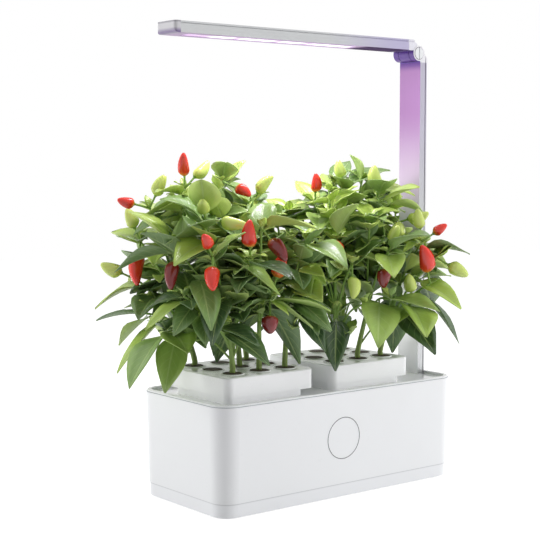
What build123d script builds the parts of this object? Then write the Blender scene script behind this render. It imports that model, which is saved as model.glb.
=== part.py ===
from build123d import *
import math
import os
import random

# Indoor grow pod: a water tank on a plinth, two lift-out planting trays, and a folding lamp.
# Millimetres, +Z up. The origin is the middle of the resting face, and -Y is the front.

# Base
BASE_WIDTH = 300.0
BASE_DEPTH = 138.0
BASE_CORNER = 20.0
BASE_DRAFT = 1.5
RIM_Z = 102.5
TANK_WALL = 2.6
TANK_FLOOR = 3.0
PLINTH_TOP = 14.0
PLINTH_INSET = 0.8
PLINTH_WALL = 2.0
PLINTH_FLOOR = 2.0
BAY_WIDTH = 42.0
PARTITION_WALL = 2.4

# Feet and plinth screws
FOOT_STAND = 1.0
FOOT_RADIUS = 8.0
FOOT_EDGE_X = 20.0
FOOT_EDGE_Y = 21.0
PLINTH_SCREW_EDGE_X = 54.0
PLINTH_SCREW_EDGE_Y = 15.0
PLINTH_PAD = 2.2
PLINTH_SCREW_GRIP = 8.0

# Screws, all of one size
SCREW_RADIUS = 1.5
SCREW_HEAD_RADIUS = 3.0
SCREW_HEAD = 1.8
SCREW_CLEARANCE = 0.3
BOSS_WALL = 3.0

# Seal and deck
SEAL_INSET = 0.5
SEAL_WIDTH = 2.0
SEAL_HEIGHT = 0.6
LIP_INSET = 0.8
LIP_WIDTH = 4.2
LIP_HEIGHT = 1.5
LIP_BEVEL = 0.5
DECK_SINK = 0.5
DECK_PLATE = 2.2
SKIRT_GAP = 0.5
SKIRT_WALL = 2.0
SKIRT_DEPTH = 9.0
SKIRT_CLEARANCE = 0.5

# Trays: an upper block that overhangs its neck at the right and at the back, for the fingers
TRAY_END = 19.0
TRAY_GAP = 21.5
TRAY_BAY_GAP = 8.5
TRAY_SIDE = 18.0
TRAY_CORNER = 8.0
TRAY_HEIGHT = 18.7
NECK_HEIGHT = 5.8
TRAY_WALL = 2.0
TRAY_FLOOR = 2.0
NECK_INSET_FRONT = 1.2
NECK_INSET_LEFT = 1.2
NECK_INSET_RIGHT = 12.5
NECK_INSET_BACK = 15.0
NECK_STEP = 3.0
WELL_DEPTH = 30.0
NECK_CLEARANCE = 0.5
LID_PLATE = 2.2
LID_BEVEL = 1.0
LID_RIM = 1.6
LID_RIM_DEPTH = 2.0
LID_CLEARANCE = 0.3

# Planting holes and plugs
HOLE_EDGE_X = 20.75
HOLE_EDGE_Y = 20.0
HOLE_SIDES = 12
PLUG_RADIUS = 9.0
PLUG_TIP_RADIUS = 7.2
PLUG_CLEARANCE = 0.2
PLUG_STAND = 1.0
PLUG_DEPTH = 13.5

# Wicks
WICK_WIDTH = 24.0
WICK_THICKNESS = 2.0
WICK_HEAD = 14.0
WICK_CLEARANCE = 0.3
WICK_END_GAP = 4.0

# Post
POST_FROM_END = 14.4
POST_DEPTH = 30.0
POST_CENTRE_Y = -12.0
POST_SIDE = 7.0
POST_GROOVE = 1.0
POST_COVER = 2.4
POST_SINK = 42.0
CHANNEL_WALL = 1.6
COVER_LEG = 1.4
COVER_CLEARANCE = 0.1
SOCKET_WALL = 2.0
SOCKET_CLEARANCE = 0.1
SOCKET_FLANGE = 3.0
SOCKET_FRAME = 2.0
SOCKET_FRAME_HEIGHT = 8.0

# Lamp arm
ARM_UNDERSIDE = 438.0
ARM_SIDE = 8.4
ARM_GROOVE = 0.9
ARM_COVER = 1.7
ARM_LENGTH = 282.7
TIP_LENGTH = 6.0
TIP_ROUND = 4.0
TIP_CORNER = 3.0
PLUG_IN_LENGTH = 12.0
PLUG_IN_CLEARANCE = 0.2

# Hinge between post and arm, its axis along Y
HINGE_OUT_X = 1.9
HINGE_OUT_Z = 2.5
KNUCKLE_LENGTH = 14.5
KNUCKLE_DROP = 9.2
BARREL_RADIUS = 7.8
BARREL_GAP = 0.5
LUG_LENGTH = 7.0
WASHER = 0.5
WASHER_CLEARANCE = 0.05
WASHER_RADIUS = 6.8
PIN_RADIUS = 3.0
PIN_CLEARANCE = 0.05
HINGE_HEAD_RADIUS = 6.0
HINGE_HEAD = 2.2
HINGE_HEAD_OUT = 0.5
HEAD_CLEARANCE = 0.15
SLOT_WIDTH = 1.4
SLOT_DEPTH = 0.9
CHAMFER_RUN = 5.0
OPEN_CLEARANCE = 2.5
GROOVE_CUT = 1.2

# Light
LIGHT_TIP_EDGE = 13.5
LIGHT_HEEL_EDGE = 63.2
LENS_WIDTH = 15.0
LENS_SETBACK = 0.3
LENS_FLANGE = 1.0
LENS_FLANGE_SIDE = 2.0
LENS_RIB = 1.2
LENS_RIB_HEIGHT = 1.4
LENS_CLEARANCE = 0.2
BOARD_THICKNESS = 1.2
LED_COUNT = 14
LED_SIZE = 5.0
LED_HEIGHT = 0.7

# Supply
LEAD_RADIUS = 1.1
LEAD_CLEARANCE = 0.4
DRIVER_LENGTH = 33.0
DRIVER_WIDTH = 26.0
DRIVER_THICKNESS = 1.6
DRIVER_STANDOFF = 9.0
DRIVER_EDGE = 4.0
RAIL_WIDTH = 4.0
RAIL_CLEARANCE = 0.2
COIL_SIZE = 9.0
COIL_HEIGHT = 6.0
INLET_FROM_END = 23.0
INLET_Z = 46.0
INLET_NOSE_RADIUS = 5.0
INLET_FLANGE_RADIUS = 7.5
INLET_FLANGE = 1.6
INLET_BODY = 11.0
INLET_BODY_LENGTH = 12.0
INLET_BORE_RADIUS = 2.8
INLET_BORE_DEPTH = 9.0
INLET_CLEARANCE = 0.2
INLET_LEAD_RADIUS = 0.8
INLET_LEAD_SPACING = 5.0

# Plants: sizes of stems, leaves and fruits, and the room that they keep
STEM_RADIUS = 2.8
STEM_TOP_RADIUS = 2.1
STEM_STUB = 8.0
BRANCH_RADIUS = 1.7
TWIG_RADIUS = 1.1
STALK_RADIUS = 1.0
STEM_SIDES = 5
TWIG_SIDES = 3
ELBOW_SHARE = 0.5
ELBOW_RISE = 9.0
LEAF_LENGTH = 56.0
LEAF_SPREAD = 12.0
LEAF_WIDTH_RATIO = 0.46
LEAF_HALF_THICKNESS = 0.8
LEAF_RIDGE = 0.5
LEAF_FOLD = 0.35
LEAF_ROOT = 0.6
LEAF_TURN_SPREAD = 38.0
LEAF_LOW_RISE = -32.0
LEAF_RISE_GAIN = 75.0
LEAF_RISE_SPREAD = 24.0
LEAF_LEAST_DROOP = 0.12
LEAF_MOST_DROOP = 0.38
LEAF_ROLL_SPREAD = 0.35
FRUIT_SIDES = 5
CANOPY_HEIGHT = 209.5
PLANT_ROOM = 3.0
POST_ROOM = 5.0
FRUIT_ROOM = 3.5
LEAF_ROOM = 7.0
WOOD_ROOM = 5.0

# Derived levels and places
TANK_BOTTOM = PLINTH_TOP
TANK_FLOOR_TOP = TANK_BOTTOM + TANK_FLOOR
SEAL_TOP = RIM_Z + SEAL_HEIGHT
LIP_TOP = SEAL_TOP + LIP_HEIGHT
DECK_TOP = RIM_Z - DECK_SINK
DECK_BOTTOM = DECK_TOP - DECK_PLATE
SKIRT_BOTTOM = SEAL_TOP - SKIRT_DEPTH
PARTITION_X = BASE_WIDTH / 2 - BAY_WIDTH
TRAY_WIDTH = (BASE_WIDTH - BAY_WIDTH - TRAY_END - TRAY_GAP - TRAY_BAY_GAP) / 2
TRAY_DEPTH = BASE_DEPTH - 2 * TRAY_SIDE
LEFT_TRAY_X = -BASE_WIDTH / 2 + TRAY_END + TRAY_WIDTH / 2
RIGHT_TRAY_X = LEFT_TRAY_X + TRAY_WIDTH + TRAY_GAP
DIVIDE_X = (LEFT_TRAY_X + RIGHT_TRAY_X) / 2
TRAY_UNDERSIDE = DECK_TOP + NECK_HEIGHT
TRAY_TOP = TRAY_UNDERSIDE + TRAY_HEIGHT
WELL_BOTTOM = DECK_TOP - WELL_DEPTH
HOLE_PITCH_X = TRAY_WIDTH / 2 - HOLE_EDGE_X
HOLE_PITCH_Y = TRAY_DEPTH / 2 - HOLE_EDGE_Y
LID_BOTTOM = TRAY_TOP - LID_PLATE
PLUG_TOP = TRAY_TOP + PLUG_STAND
CANOPY_TOP = PLUG_TOP + CANOPY_HEIGHT
POST_BOTTOM = DECK_TOP - POST_SINK
POST_FACE_X = BASE_WIDTH / 2 - POST_FROM_END
POST_FRONT = POST_CENTRE_Y - POST_DEPTH / 2
POST_BACK = POST_CENTRE_Y + POST_DEPTH / 2
POST_SIDE_X = POST_FACE_X + POST_SIDE
POST_COVER_X = POST_SIDE_X + POST_GROOVE
POST_OUTER_X = POST_COVER_X + POST_COVER
ARM_SIDE_TOP = ARM_UNDERSIDE + ARM_SIDE
ARM_COVER_BOTTOM = ARM_SIDE_TOP + ARM_GROOVE
ARM_TOP = ARM_COVER_BOTTOM + ARM_COVER
HINGE_X = POST_FACE_X - HINGE_OUT_X
HINGE_Z = ARM_UNDERSIDE - HINGE_OUT_Z
POST_TOP = HINGE_Z - KNUCKLE_DROP
ARM_SEAM_X = HINGE_X - KNUCKLE_LENGTH
ARM_TIP_SEAM_X = ARM_SEAM_X - ARM_LENGTH
LIGHT_LEFT_X = ARM_TIP_SEAM_X + LIGHT_TIP_EDGE
LIGHT_RIGHT_X = ARM_SEAM_X - LIGHT_HEEL_EDGE
INLET_X = BASE_WIDTH / 2 - INLET_FROM_END
LEG_OUT = CHANNEL_WALL + COVER_CLEARANCE
PLUG_IN_SIDE = LEG_OUT + COVER_LEG + PLUG_IN_CLEARANCE


def inset_at(z):
    """How far the drafted base side has come in at height z."""
    return (RIM_Z - z) * math.tan(math.radians(BASE_DRAFT))


def drafted(inset, top, bottom):
    """Solid between two heights that follows the drafted base outline, inset all round."""
    total = inset + inset_at(top)
    outline = RectangleRounded(BASE_WIDTH - 2 * total, BASE_DEPTH - 2 * total, BASE_CORNER - total)
    return extrude(Pos(0, 0, top) * outline, amount=top - bottom, dir=(0, 0, -1), taper=BASE_DRAFT)


def slab(inset, bottom, top):
    """Upright solid with the base's rim outline, inset all round."""
    outline = RectangleRounded(BASE_WIDTH - 2 * inset, BASE_DEPTH - 2 * inset, BASE_CORNER - inset)
    return extrude(Pos(0, 0, bottom) * outline, amount=top - bottom, dir=(0, 0, 1))


def block(x0, x1, y0, y1, z0, z1):
    """Box between two corners."""
    return Pos((x0 + x1) / 2, (y0 + y1) / 2, (z0 + z1) / 2) * Box(x1 - x0, y1 - y0, z1 - z0)


def rounded(x0, x1, y0, y1, radius, z0, z1):
    """Upright box with round corners."""
    outline = Pos((x0 + x1) / 2, (y0 + y1) / 2, z0) * RectangleRounded(x1 - x0, y1 - y0, radius)
    return extrude(outline, amount=z1 - z0, dir=(0, 0, 1))


def rod_x(y, z, radius, x0, x1):
    """Round bar along X."""
    return Pos((x0 + x1) / 2, y, z) * Rot(0, 90, 0) * Cylinder(radius, x1 - x0)


def rod_y(x, z, radius, y0, y1):
    """Round bar along Y."""
    return Pos(x, (y0 + y1) / 2, z) * Rot(90, 0, 0) * Cylinder(radius, y1 - y0)


def rod_z(x, y, radius, z0, z1):
    """Round bar along Z."""
    return Pos(x, y, (z0 + z1) / 2) * Cylinder(radius, z1 - z0)


def prism_y(points, y0, y1):
    """Solid with an outline drawn in X and Z, from one Y to another."""
    outline = make_face(Polyline([(x, y0, z) for x, z in points], close=True))
    return extrude(outline, amount=y1 - y0, dir=(0, 1, 0))


def save(name, *shapes):
    """Write one named node, as one solid or as a group of solids."""
    solids = [solid for shape in shapes for solid in shape.solids()]
    node = solids[0] if len(solids) == 1 else Compound(children=solids)
    node.label = name
    export_step(node, "parts/" + name + ".step")


def four_corners(x, y):
    """The four places at plus and minus x and y."""
    return [(sx * x, sy * y) for sx in (-1, 1) for sy in (-1, 1)]


# Base: plinth, feet, tank and the screws between them
plinth_pad_top = FOOT_STAND + PLINTH_FLOOR + PLINTH_PAD
plinth_head_top = FOOT_STAND + SCREW_HEAD + SCREW_CLEARANCE
plinth_screw_x = BASE_WIDTH / 2 - PLINTH_SCREW_EDGE_X
plinth_screw_y = BASE_DEPTH / 2 - PLINTH_SCREW_EDGE_Y
plinth_screw_places = four_corners(plinth_screw_x, plinth_screw_y)
boss_half = SCREW_RADIUS + BOSS_WALL
foot_places = four_corners(BASE_WIDTH / 2 - FOOT_EDGE_X, BASE_DEPTH / 2 - FOOT_EDGE_Y) + [(0, 0)]


def boss(x, y, z0, z1):
    """Square screw boss."""
    return block(x - boss_half, x + boss_half, y - boss_half, y + boss_half, z0, z1)


plinth = drafted(PLINTH_INSET, PLINTH_TOP, FOOT_STAND)
plinth -= drafted(PLINTH_INSET + PLINTH_WALL, PLINTH_TOP, FOOT_STAND + PLINTH_FLOOR)
plinth += [boss(x, y, FOOT_STAND, plinth_pad_top) for x, y in plinth_screw_places]
head_hole = SCREW_HEAD_RADIUS + SCREW_CLEARANCE
plinth -= [rod_z(x, y, head_hole, FOOT_STAND, plinth_head_top) for x, y in plinth_screw_places]
shank_hole = SCREW_RADIUS + SCREW_CLEARANCE
plinth -= [rod_z(x, y, shank_hole, FOOT_STAND, plinth_pad_top) for x, y in plinth_screw_places]
feet = [rod_z(x, y, FOOT_RADIUS, 0, FOOT_STAND) for x, y in foot_places]

plinth_screw_top = plinth_pad_top + PLINTH_SCREW_GRIP
plinth_screws = [
    rod_z(x, y, SCREW_HEAD_RADIUS, plinth_head_top - SCREW_HEAD, plinth_head_top)
    + rod_z(x, y, SCREW_RADIUS, plinth_head_top, plinth_screw_top)
    for x, y in plinth_screw_places
]

tank = drafted(0, RIM_Z, TANK_BOTTOM) - drafted(TANK_WALL, RIM_Z, TANK_FLOOR_TOP)
partition = block(
    PARTITION_X, PARTITION_X + PARTITION_WALL, -BASE_DEPTH / 2, BASE_DEPTH / 2,
    TANK_BOTTOM + TANK_FLOOR / 2, SKIRT_BOTTOM - SKIRT_CLEARANCE,
)
tank += partition & drafted(TANK_WALL / 2, RIM_Z, TANK_BOTTOM)
tank += [boss(x, y, plinth_pad_top, TANK_FLOOR_TOP) for x, y in plinth_screw_places]
tank -= [rod_z(x, y, SCREW_RADIUS, plinth_pad_top, plinth_screw_top) for x, y in plinth_screw_places]

# Deck: lip over the seal, skirt inside the tank, and a sunk plate
seal_inner = SEAL_INSET + SEAL_WIDTH
seal = slab(SEAL_INSET, RIM_Z, SEAL_TOP) - slab(seal_inner, RIM_Z, SEAL_TOP)
skirt_inset = TANK_WALL + SKIRT_GAP
lip_inner = LIP_INSET + LIP_WIDTH
lip = slab(LIP_INSET, SEAL_TOP, LIP_TOP)
lip = chamfer(lip.edges().group_by(Axis.Z)[-1], LIP_BEVEL)
deck = lip + slab(skirt_inset, SKIRT_BOTTOM, SEAL_TOP)
deck -= slab(lip_inner, DECK_TOP, LIP_TOP)
deck -= slab(skirt_inset + SKIRT_WALL, SKIRT_BOTTOM, DECK_BOTTOM)

# Post socket in the dry bay, held in a frame on the tank floor and by the deck above it
socket_front = POST_FRONT - SOCKET_CLEARANCE
socket_back = POST_BACK + SOCKET_CLEARANCE
socket_left = POST_FACE_X - SOCKET_CLEARANCE
socket_right = POST_SIDE_X + SOCKET_CLEARANCE
socket_outer = (
    socket_left - SOCKET_WALL, socket_right + SOCKET_WALL,
    socket_front - SOCKET_WALL, socket_back + SOCKET_WALL,
)
socket = block(*socket_outer, TANK_FLOOR_TOP, DECK_BOTTOM)
socket -= block(socket_left, socket_right, socket_front, socket_back, POST_BOTTOM, DECK_BOTTOM)
socket -= block(
    socket_left + CHANNEL_WALL, socket_right - CHANNEL_WALL, socket_front + CHANNEL_WALL,
    socket_back - CHANNEL_WALL, TANK_FLOOR_TOP + SOCKET_FLANGE, POST_BOTTOM,
)
frame_room = (
    socket_outer[0] - SOCKET_CLEARANCE, socket_outer[1] + SOCKET_CLEARANCE,
    socket_outer[2] - SOCKET_CLEARANCE, socket_outer[3] + SOCKET_CLEARANCE,
)
frame_top = TANK_FLOOR_TOP + SOCKET_FRAME_HEIGHT
frame = block(
    frame_room[0] - SOCKET_FRAME, frame_room[0], frame_room[2] - SOCKET_FRAME, frame_room[3] + SOCKET_FRAME,
    TANK_BOTTOM, frame_top,
)
frame += [
    block(frame_room[0] - SOCKET_FRAME, frame_room[1], y0, y0 + SOCKET_FRAME, TANK_BOTTOM, frame_top)
    for y0 in (frame_room[2] - SOCKET_FRAME, frame_room[3])
]
tank += frame
deck -= block(socket_left, socket_right, socket_front, socket_back, DECK_BOTTOM, DECK_TOP)

# Driver board, slid into two slotted rails behind the socket
driver_y0 = frame_room[3] + SOCKET_FRAME + DRIVER_EDGE
driver_y1 = driver_y0 + DRIVER_LENGTH
driver_x0 = PARTITION_X + PARTITION_WALL + DRIVER_EDGE
driver_x1 = driver_x0 + DRIVER_WIDTH
driver_low = TANK_FLOOR_TOP + DRIVER_STANDOFF
driver_top = driver_low + DRIVER_THICKNESS
rails = [
    block(
        x - RAIL_WIDTH / 2, x + RAIL_WIDTH / 2, driver_y0 + RAIL_WIDTH, driver_y1 - RAIL_WIDTH,
        TANK_BOTTOM, driver_top + RAIL_WIDTH / 2,
    )
    for x in (driver_x0, driver_x1)
]
slot_low = driver_low
slot_high = driver_top + RAIL_CLEARANCE
slot = block(
    driver_x0 - RAIL_CLEARANCE, driver_x1 + RAIL_CLEARANCE, driver_y0, driver_y1, slot_low, slot_high,
)
tank += [rail - slot for rail in rails]
driver = block(driver_x0, driver_x1, driver_y0, driver_y1, driver_low, driver_top)
coil_x = (driver_x0 + driver_x1) / 2
coil_y = driver_y0 + DRIVER_EDGE + COIL_SIZE
driver += block(
    coil_x - COIL_SIZE / 2, coil_x + COIL_SIZE / 2, coil_y - COIL_SIZE / 2, coil_y + COIL_SIZE / 2,
    driver_top, driver_top + COIL_HEIGHT,
)

# Supply inlet in the rear wall, with two leads down to the board
inlet_high = INLET_Z + INLET_FLANGE_RADIUS
wall_outer = BASE_DEPTH / 2 - inset_at(inlet_high)
wall_inner = BASE_DEPTH / 2 - inset_at(INLET_Z - INLET_BODY / 2) - TANK_WALL - INLET_CLEARANCE
inlet_tail = wall_inner - INLET_BODY_LENGTH
half_body = INLET_BODY / 2
inlet = rod_y(INLET_X, INLET_Z, INLET_FLANGE_RADIUS, wall_outer, wall_outer + INLET_FLANGE)
inlet += rod_y(INLET_X, INLET_Z, INLET_NOSE_RADIUS, wall_inner, wall_outer)
inlet += block(
    INLET_X - half_body, INLET_X + half_body, inlet_tail, wall_inner,
    INLET_Z - half_body, INLET_Z + half_body,
)
inlet_face = wall_outer + INLET_FLANGE
inlet -= rod_y(INLET_X, INLET_Z, INLET_BORE_RADIUS, inlet_face - INLET_BORE_DEPTH, inlet_face)
tank -= rod_y(INLET_X, INLET_Z, INLET_NOSE_RADIUS + INLET_CLEARANCE, wall_inner, inlet_face)
lead_y = min(inlet_tail + half_body, driver_y1) - INLET_LEAD_SPACING / 2
inlet_leads = [
    rod_z(INLET_X + side * INLET_LEAD_SPACING / 2, lead_y, INLET_LEAD_RADIUS, driver_top, INLET_Z - half_body)
    for side in (-1, 1)
]

# Post: channel with its web towards the plants, and a rear cover that snaps into it
channel = block(POST_FACE_X, POST_SIDE_X, POST_FRONT, POST_BACK, POST_BOTTOM, POST_TOP)
channel -= block(
    POST_FACE_X + CHANNEL_WALL, POST_SIDE_X, POST_FRONT + CHANNEL_WALL, POST_BACK - CHANNEL_WALL,
    POST_BOTTOM, POST_TOP,
)
cover_bottom = LIP_TOP + COVER_CLEARANCE
leg_places = [
    (POST_FRONT + LEG_OUT, POST_FRONT + LEG_OUT + COVER_LEG),
    (POST_BACK - LEG_OUT - COVER_LEG, POST_BACK - LEG_OUT),
]
rear_cover = block(POST_COVER_X, POST_OUTER_X, POST_FRONT, POST_BACK, cover_bottom, POST_TOP)
cover_edges = rear_cover.edges().filter_by(Axis.Z).group_by(Axis.X)[-1]
rear_cover = fillet(cover_edges, CHANNEL_WALL)
rear_cover += [
    block(POST_FACE_X + CHANNEL_WALL, POST_COVER_X, y0, y1, cover_bottom, POST_TOP)
    for y0, y1 in leg_places
]

# Lamp arm: channel with its web and light slot below, and a top cover that snaps into it
arm_web_top = ARM_UNDERSIDE + CHANNEL_WALL
lens_y0 = POST_CENTRE_Y - LENS_WIDTH / 2
lens_y1 = POST_CENTRE_Y + LENS_WIDTH / 2
arm = block(ARM_TIP_SEAM_X, ARM_SEAM_X, POST_FRONT, POST_BACK, ARM_UNDERSIDE, ARM_SIDE_TOP)
arm -= block(
    ARM_TIP_SEAM_X, ARM_SEAM_X, POST_FRONT + CHANNEL_WALL, POST_BACK - CHANNEL_WALL,
    arm_web_top, ARM_SIDE_TOP,
)
arm -= block(
    LIGHT_LEFT_X - LENS_CLEARANCE, LIGHT_RIGHT_X + LENS_CLEARANCE,
    lens_y0 - LENS_CLEARANCE, lens_y1 + LENS_CLEARANCE, ARM_UNDERSIDE, arm_web_top,
)
top_cover = block(ARM_TIP_SEAM_X, ARM_SEAM_X, POST_FRONT, POST_BACK, ARM_COVER_BOTTOM, ARM_TOP)
top_edges = top_cover.edges().filter_by(Axis.X).group_by(Axis.Z)[-1]
top_cover = fillet(top_edges, CHANNEL_WALL / 2)
top_cover += [
    block(ARM_TIP_SEAM_X, ARM_SEAM_X, y0, y1, arm_web_top, ARM_COVER_BOTTOM) for y0, y1 in leg_places
]

plug_y0 = POST_FRONT + PLUG_IN_SIDE
plug_y1 = POST_BACK - PLUG_IN_SIDE
tip_x = ARM_TIP_SEAM_X - TIP_LENGTH
tip_side = Rectangle(TIP_LENGTH, ARM_TOP - ARM_UNDERSIDE)
tip_side = fillet(tip_side.vertices().group_by(Axis.X)[0].group_by(Axis.Y)[0], TIP_ROUND)
tip_middle = (tip_x + ARM_TIP_SEAM_X) / 2
tip_side = Pos(tip_middle, POST_BACK, (ARM_UNDERSIDE + ARM_TOP) / 2) * Rot(90, 0, 0) * tip_side
tip_plan = Rectangle(TIP_LENGTH, POST_DEPTH)
tip_plan = fillet(tip_plan.vertices().group_by(Axis.X)[0], TIP_CORNER)
tip_plan = Pos(tip_middle, POST_CENTRE_Y, ARM_UNDERSIDE) * tip_plan
tip = extrude(tip_side, amount=POST_DEPTH, dir=(0, -1, 0))
tip &= extrude(tip_plan, amount=ARM_TOP - ARM_UNDERSIDE, dir=(0, 0, 1))
tip += block(
    ARM_TIP_SEAM_X, ARM_TIP_SEAM_X + PLUG_IN_LENGTH, plug_y0, plug_y1,
    arm_web_top, ARM_SIDE_TOP - PLUG_IN_CLEARANCE,
)

# Light: lens in the slot, LED board on the lens ribs, LEDs below the board
flange_y0 = lens_y0 - LENS_FLANGE_SIDE
flange_y1 = lens_y1 + LENS_FLANGE_SIDE
lens_base_top = arm_web_top + LENS_FLANGE
board_low = lens_base_top + LENS_RIB_HEIGHT
board_top = board_low + BOARD_THICKNESS
lens = block(
    LIGHT_LEFT_X, LIGHT_RIGHT_X, lens_y0, lens_y1, ARM_UNDERSIDE + LENS_SETBACK, arm_web_top,
)
lens += block(LIGHT_LEFT_X, LIGHT_RIGHT_X, flange_y0, flange_y1, arm_web_top, lens_base_top)
lens += [
    block(LIGHT_LEFT_X, LIGHT_RIGHT_X, y0, y0 + LENS_RIB, lens_base_top, board_low)
    for y0 in (flange_y0, flange_y1 - LENS_RIB)
]
led_board = block(LIGHT_LEFT_X, LIGHT_RIGHT_X, flange_y0, flange_y1, board_low, board_top)
led_pitch = (LIGHT_RIGHT_X - LIGHT_LEFT_X) / LED_COUNT
led_places = [LIGHT_LEFT_X + led_pitch * (k + 0.5) for k in range(LED_COUNT)]
leds = [
    block(
        x - LED_SIZE / 2, x + LED_SIZE / 2, POST_CENTRE_Y - LED_SIZE / 2, POST_CENTRE_Y + LED_SIZE / 2,
        board_low - LED_HEIGHT, board_low,
    )
    for x in led_places
]

# Hinge: two lugs on the post, a tongue on the arm between them, washers, pin, screw and nut
lug_front = POST_FRONT + LUG_LENGTH
lug_back = POST_BACK - LUG_LENGTH
washer_room = WASHER + 2 * WASHER_CLEARANCE
tongue_y0 = lug_front + washer_room
tongue_y1 = lug_back - washer_room
swing_radius = BARREL_RADIUS + BARREL_GAP
pin_hole = PIN_RADIUS + PIN_CLEARANCE
post_shoulder = HINGE_Z - CHAMFER_RUN
arm_shoulder = HINGE_X - CHAMFER_RUN - OPEN_CLEARANCE
arm_nose_z = ARM_TOP - CHAMFER_RUN

post_outline = [
    (POST_FACE_X, POST_TOP), (POST_OUTER_X, POST_TOP), (POST_OUTER_X, post_shoulder),
    (HINGE_X + BARREL_RADIUS, HINGE_Z), (POST_FACE_X, HINGE_Z),
]
post_knuckle = prism_y(post_outline, POST_FRONT, POST_BACK)
post_knuckle += rod_y(HINGE_X, HINGE_Z, BARREL_RADIUS, POST_FRONT, POST_BACK)
post_knuckle -= rod_y(HINGE_X, HINGE_Z, swing_radius, lug_front, lug_back)
post_plug_low = POST_TOP - PLUG_IN_LENGTH
post_knuckle += block(
    POST_FACE_X + CHANNEL_WALL, POST_SIDE_X - PLUG_IN_CLEARANCE, plug_y0, plug_y1,
    post_plug_low, POST_TOP,
)
post_knuckle -= [
    block(POST_SIDE_X, POST_COVER_X, y0, y1, POST_TOP, HINGE_Z)
    for y0, y1 in ((POST_FRONT, POST_FRONT + GROOVE_CUT), (POST_BACK - GROOVE_CUT, POST_BACK))
]

arm_outline = [
    (ARM_SEAM_X, ARM_UNDERSIDE), (ARM_SEAM_X, ARM_TOP), (arm_shoulder, ARM_TOP),
    (HINGE_X - OPEN_CLEARANCE, arm_nose_z), (HINGE_X - OPEN_CLEARANCE, ARM_UNDERSIDE),
]
arm_knuckle = prism_y(arm_outline, POST_FRONT, POST_BACK)
arm_knuckle -= rod_y(HINGE_X, HINGE_Z, swing_radius, POST_FRONT, tongue_y0)
arm_knuckle -= rod_y(HINGE_X, HINGE_Z, swing_radius, tongue_y1, POST_BACK)
arm_knuckle += rod_y(HINGE_X, HINGE_Z, BARREL_RADIUS, tongue_y0, tongue_y1)
arm_knuckle += block(
    ARM_SEAM_X - PLUG_IN_LENGTH, ARM_SEAM_X, plug_y0, plug_y1,
    arm_web_top, ARM_SIDE_TOP - PLUG_IN_CLEARANCE,
)
arm_knuckle -= [
    block(ARM_SEAM_X, HINGE_X, y0, y1, ARM_SIDE_TOP, ARM_COVER_BOTTOM)
    for y0, y1 in ((POST_FRONT, POST_FRONT + GROOVE_CUT), (POST_BACK - GROOVE_CUT, POST_BACK))
]
arm_knuckle -= rod_y(HINGE_X, HINGE_Z, pin_hole, POST_FRONT, POST_BACK)

head_room = HINGE_HEAD_RADIUS + HEAD_CLEARANCE
head_front = POST_FRONT - HINGE_HEAD_OUT + HINGE_HEAD
head_back = POST_BACK + HINGE_HEAD_OUT - HINGE_HEAD
post_knuckle -= rod_y(HINGE_X, HINGE_Z, pin_hole, POST_FRONT, POST_BACK)
post_knuckle -= rod_y(HINGE_X, HINGE_Z, head_room, POST_FRONT, head_front)
post_knuckle -= rod_y(HINGE_X, HINGE_Z, head_room, head_back, POST_BACK)
hinge_pin = rod_y(HINGE_X, HINGE_Z, PIN_RADIUS, head_front, head_back)
hinge_screw = rod_y(HINGE_X, HINGE_Z, HINGE_HEAD_RADIUS, POST_FRONT - HINGE_HEAD_OUT, head_front)
hinge_screw -= block(
    HINGE_X - SLOT_WIDTH / 2, HINGE_X + SLOT_WIDTH / 2, POST_FRONT - HINGE_HEAD_OUT,
    POST_FRONT - HINGE_HEAD_OUT + SLOT_DEPTH, HINGE_Z - HINGE_HEAD_RADIUS, HINGE_Z + HINGE_HEAD_RADIUS,
)
hinge_nut = rod_y(HINGE_X, HINGE_Z, HINGE_HEAD_RADIUS, head_back, POST_BACK + HINGE_HEAD_OUT)
washers = [
    rod_y(HINGE_X, HINGE_Z, WASHER_RADIUS, y0, y0 + WASHER)
    - rod_y(HINGE_X, HINGE_Z, pin_hole, y0, y0 + WASHER)
    for y0 in (lug_front + WASHER_CLEARANCE, tongue_y1 + WASHER_CLEARANCE)
]

# Leads: up the post from the driver board, and along the arm from the LED board
lead_hole = LEAD_RADIUS + LEAD_CLEARANCE
post_lead_x = POST_FACE_X + POST_SIDE / 2
post_lead_low = (driver_low + driver_top) / 2
post_lead_top = POST_TOP - LEAD_CLEARANCE
post_lead = rod_z(post_lead_x, POST_CENTRE_Y, LEAD_RADIUS, post_lead_low - LEAD_RADIUS, post_lead_top)
post_lead += rod_y(post_lead_x, post_lead_low, LEAD_RADIUS, POST_CENTRE_Y, driver_y0)
post_knuckle -= rod_z(post_lead_x, POST_CENTRE_Y, lead_hole, post_plug_low, POST_TOP)
socket -= rod_y(post_lead_x, post_lead_low, lead_hole, POST_CENTRE_Y, socket_back + SOCKET_WALL)
arm_lead_z = (board_low + board_top) / 2
arm_lead_end = ARM_SEAM_X - LEAD_CLEARANCE
arm_lead = rod_x(POST_CENTRE_Y, arm_lead_z, LEAD_RADIUS, LIGHT_RIGHT_X, arm_lead_end)
arm_knuckle -= rod_x(POST_CENTRE_Y, arm_lead_z, lead_hole, ARM_SEAM_X - PLUG_IN_LENGTH, ARM_SEAM_X)


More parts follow.
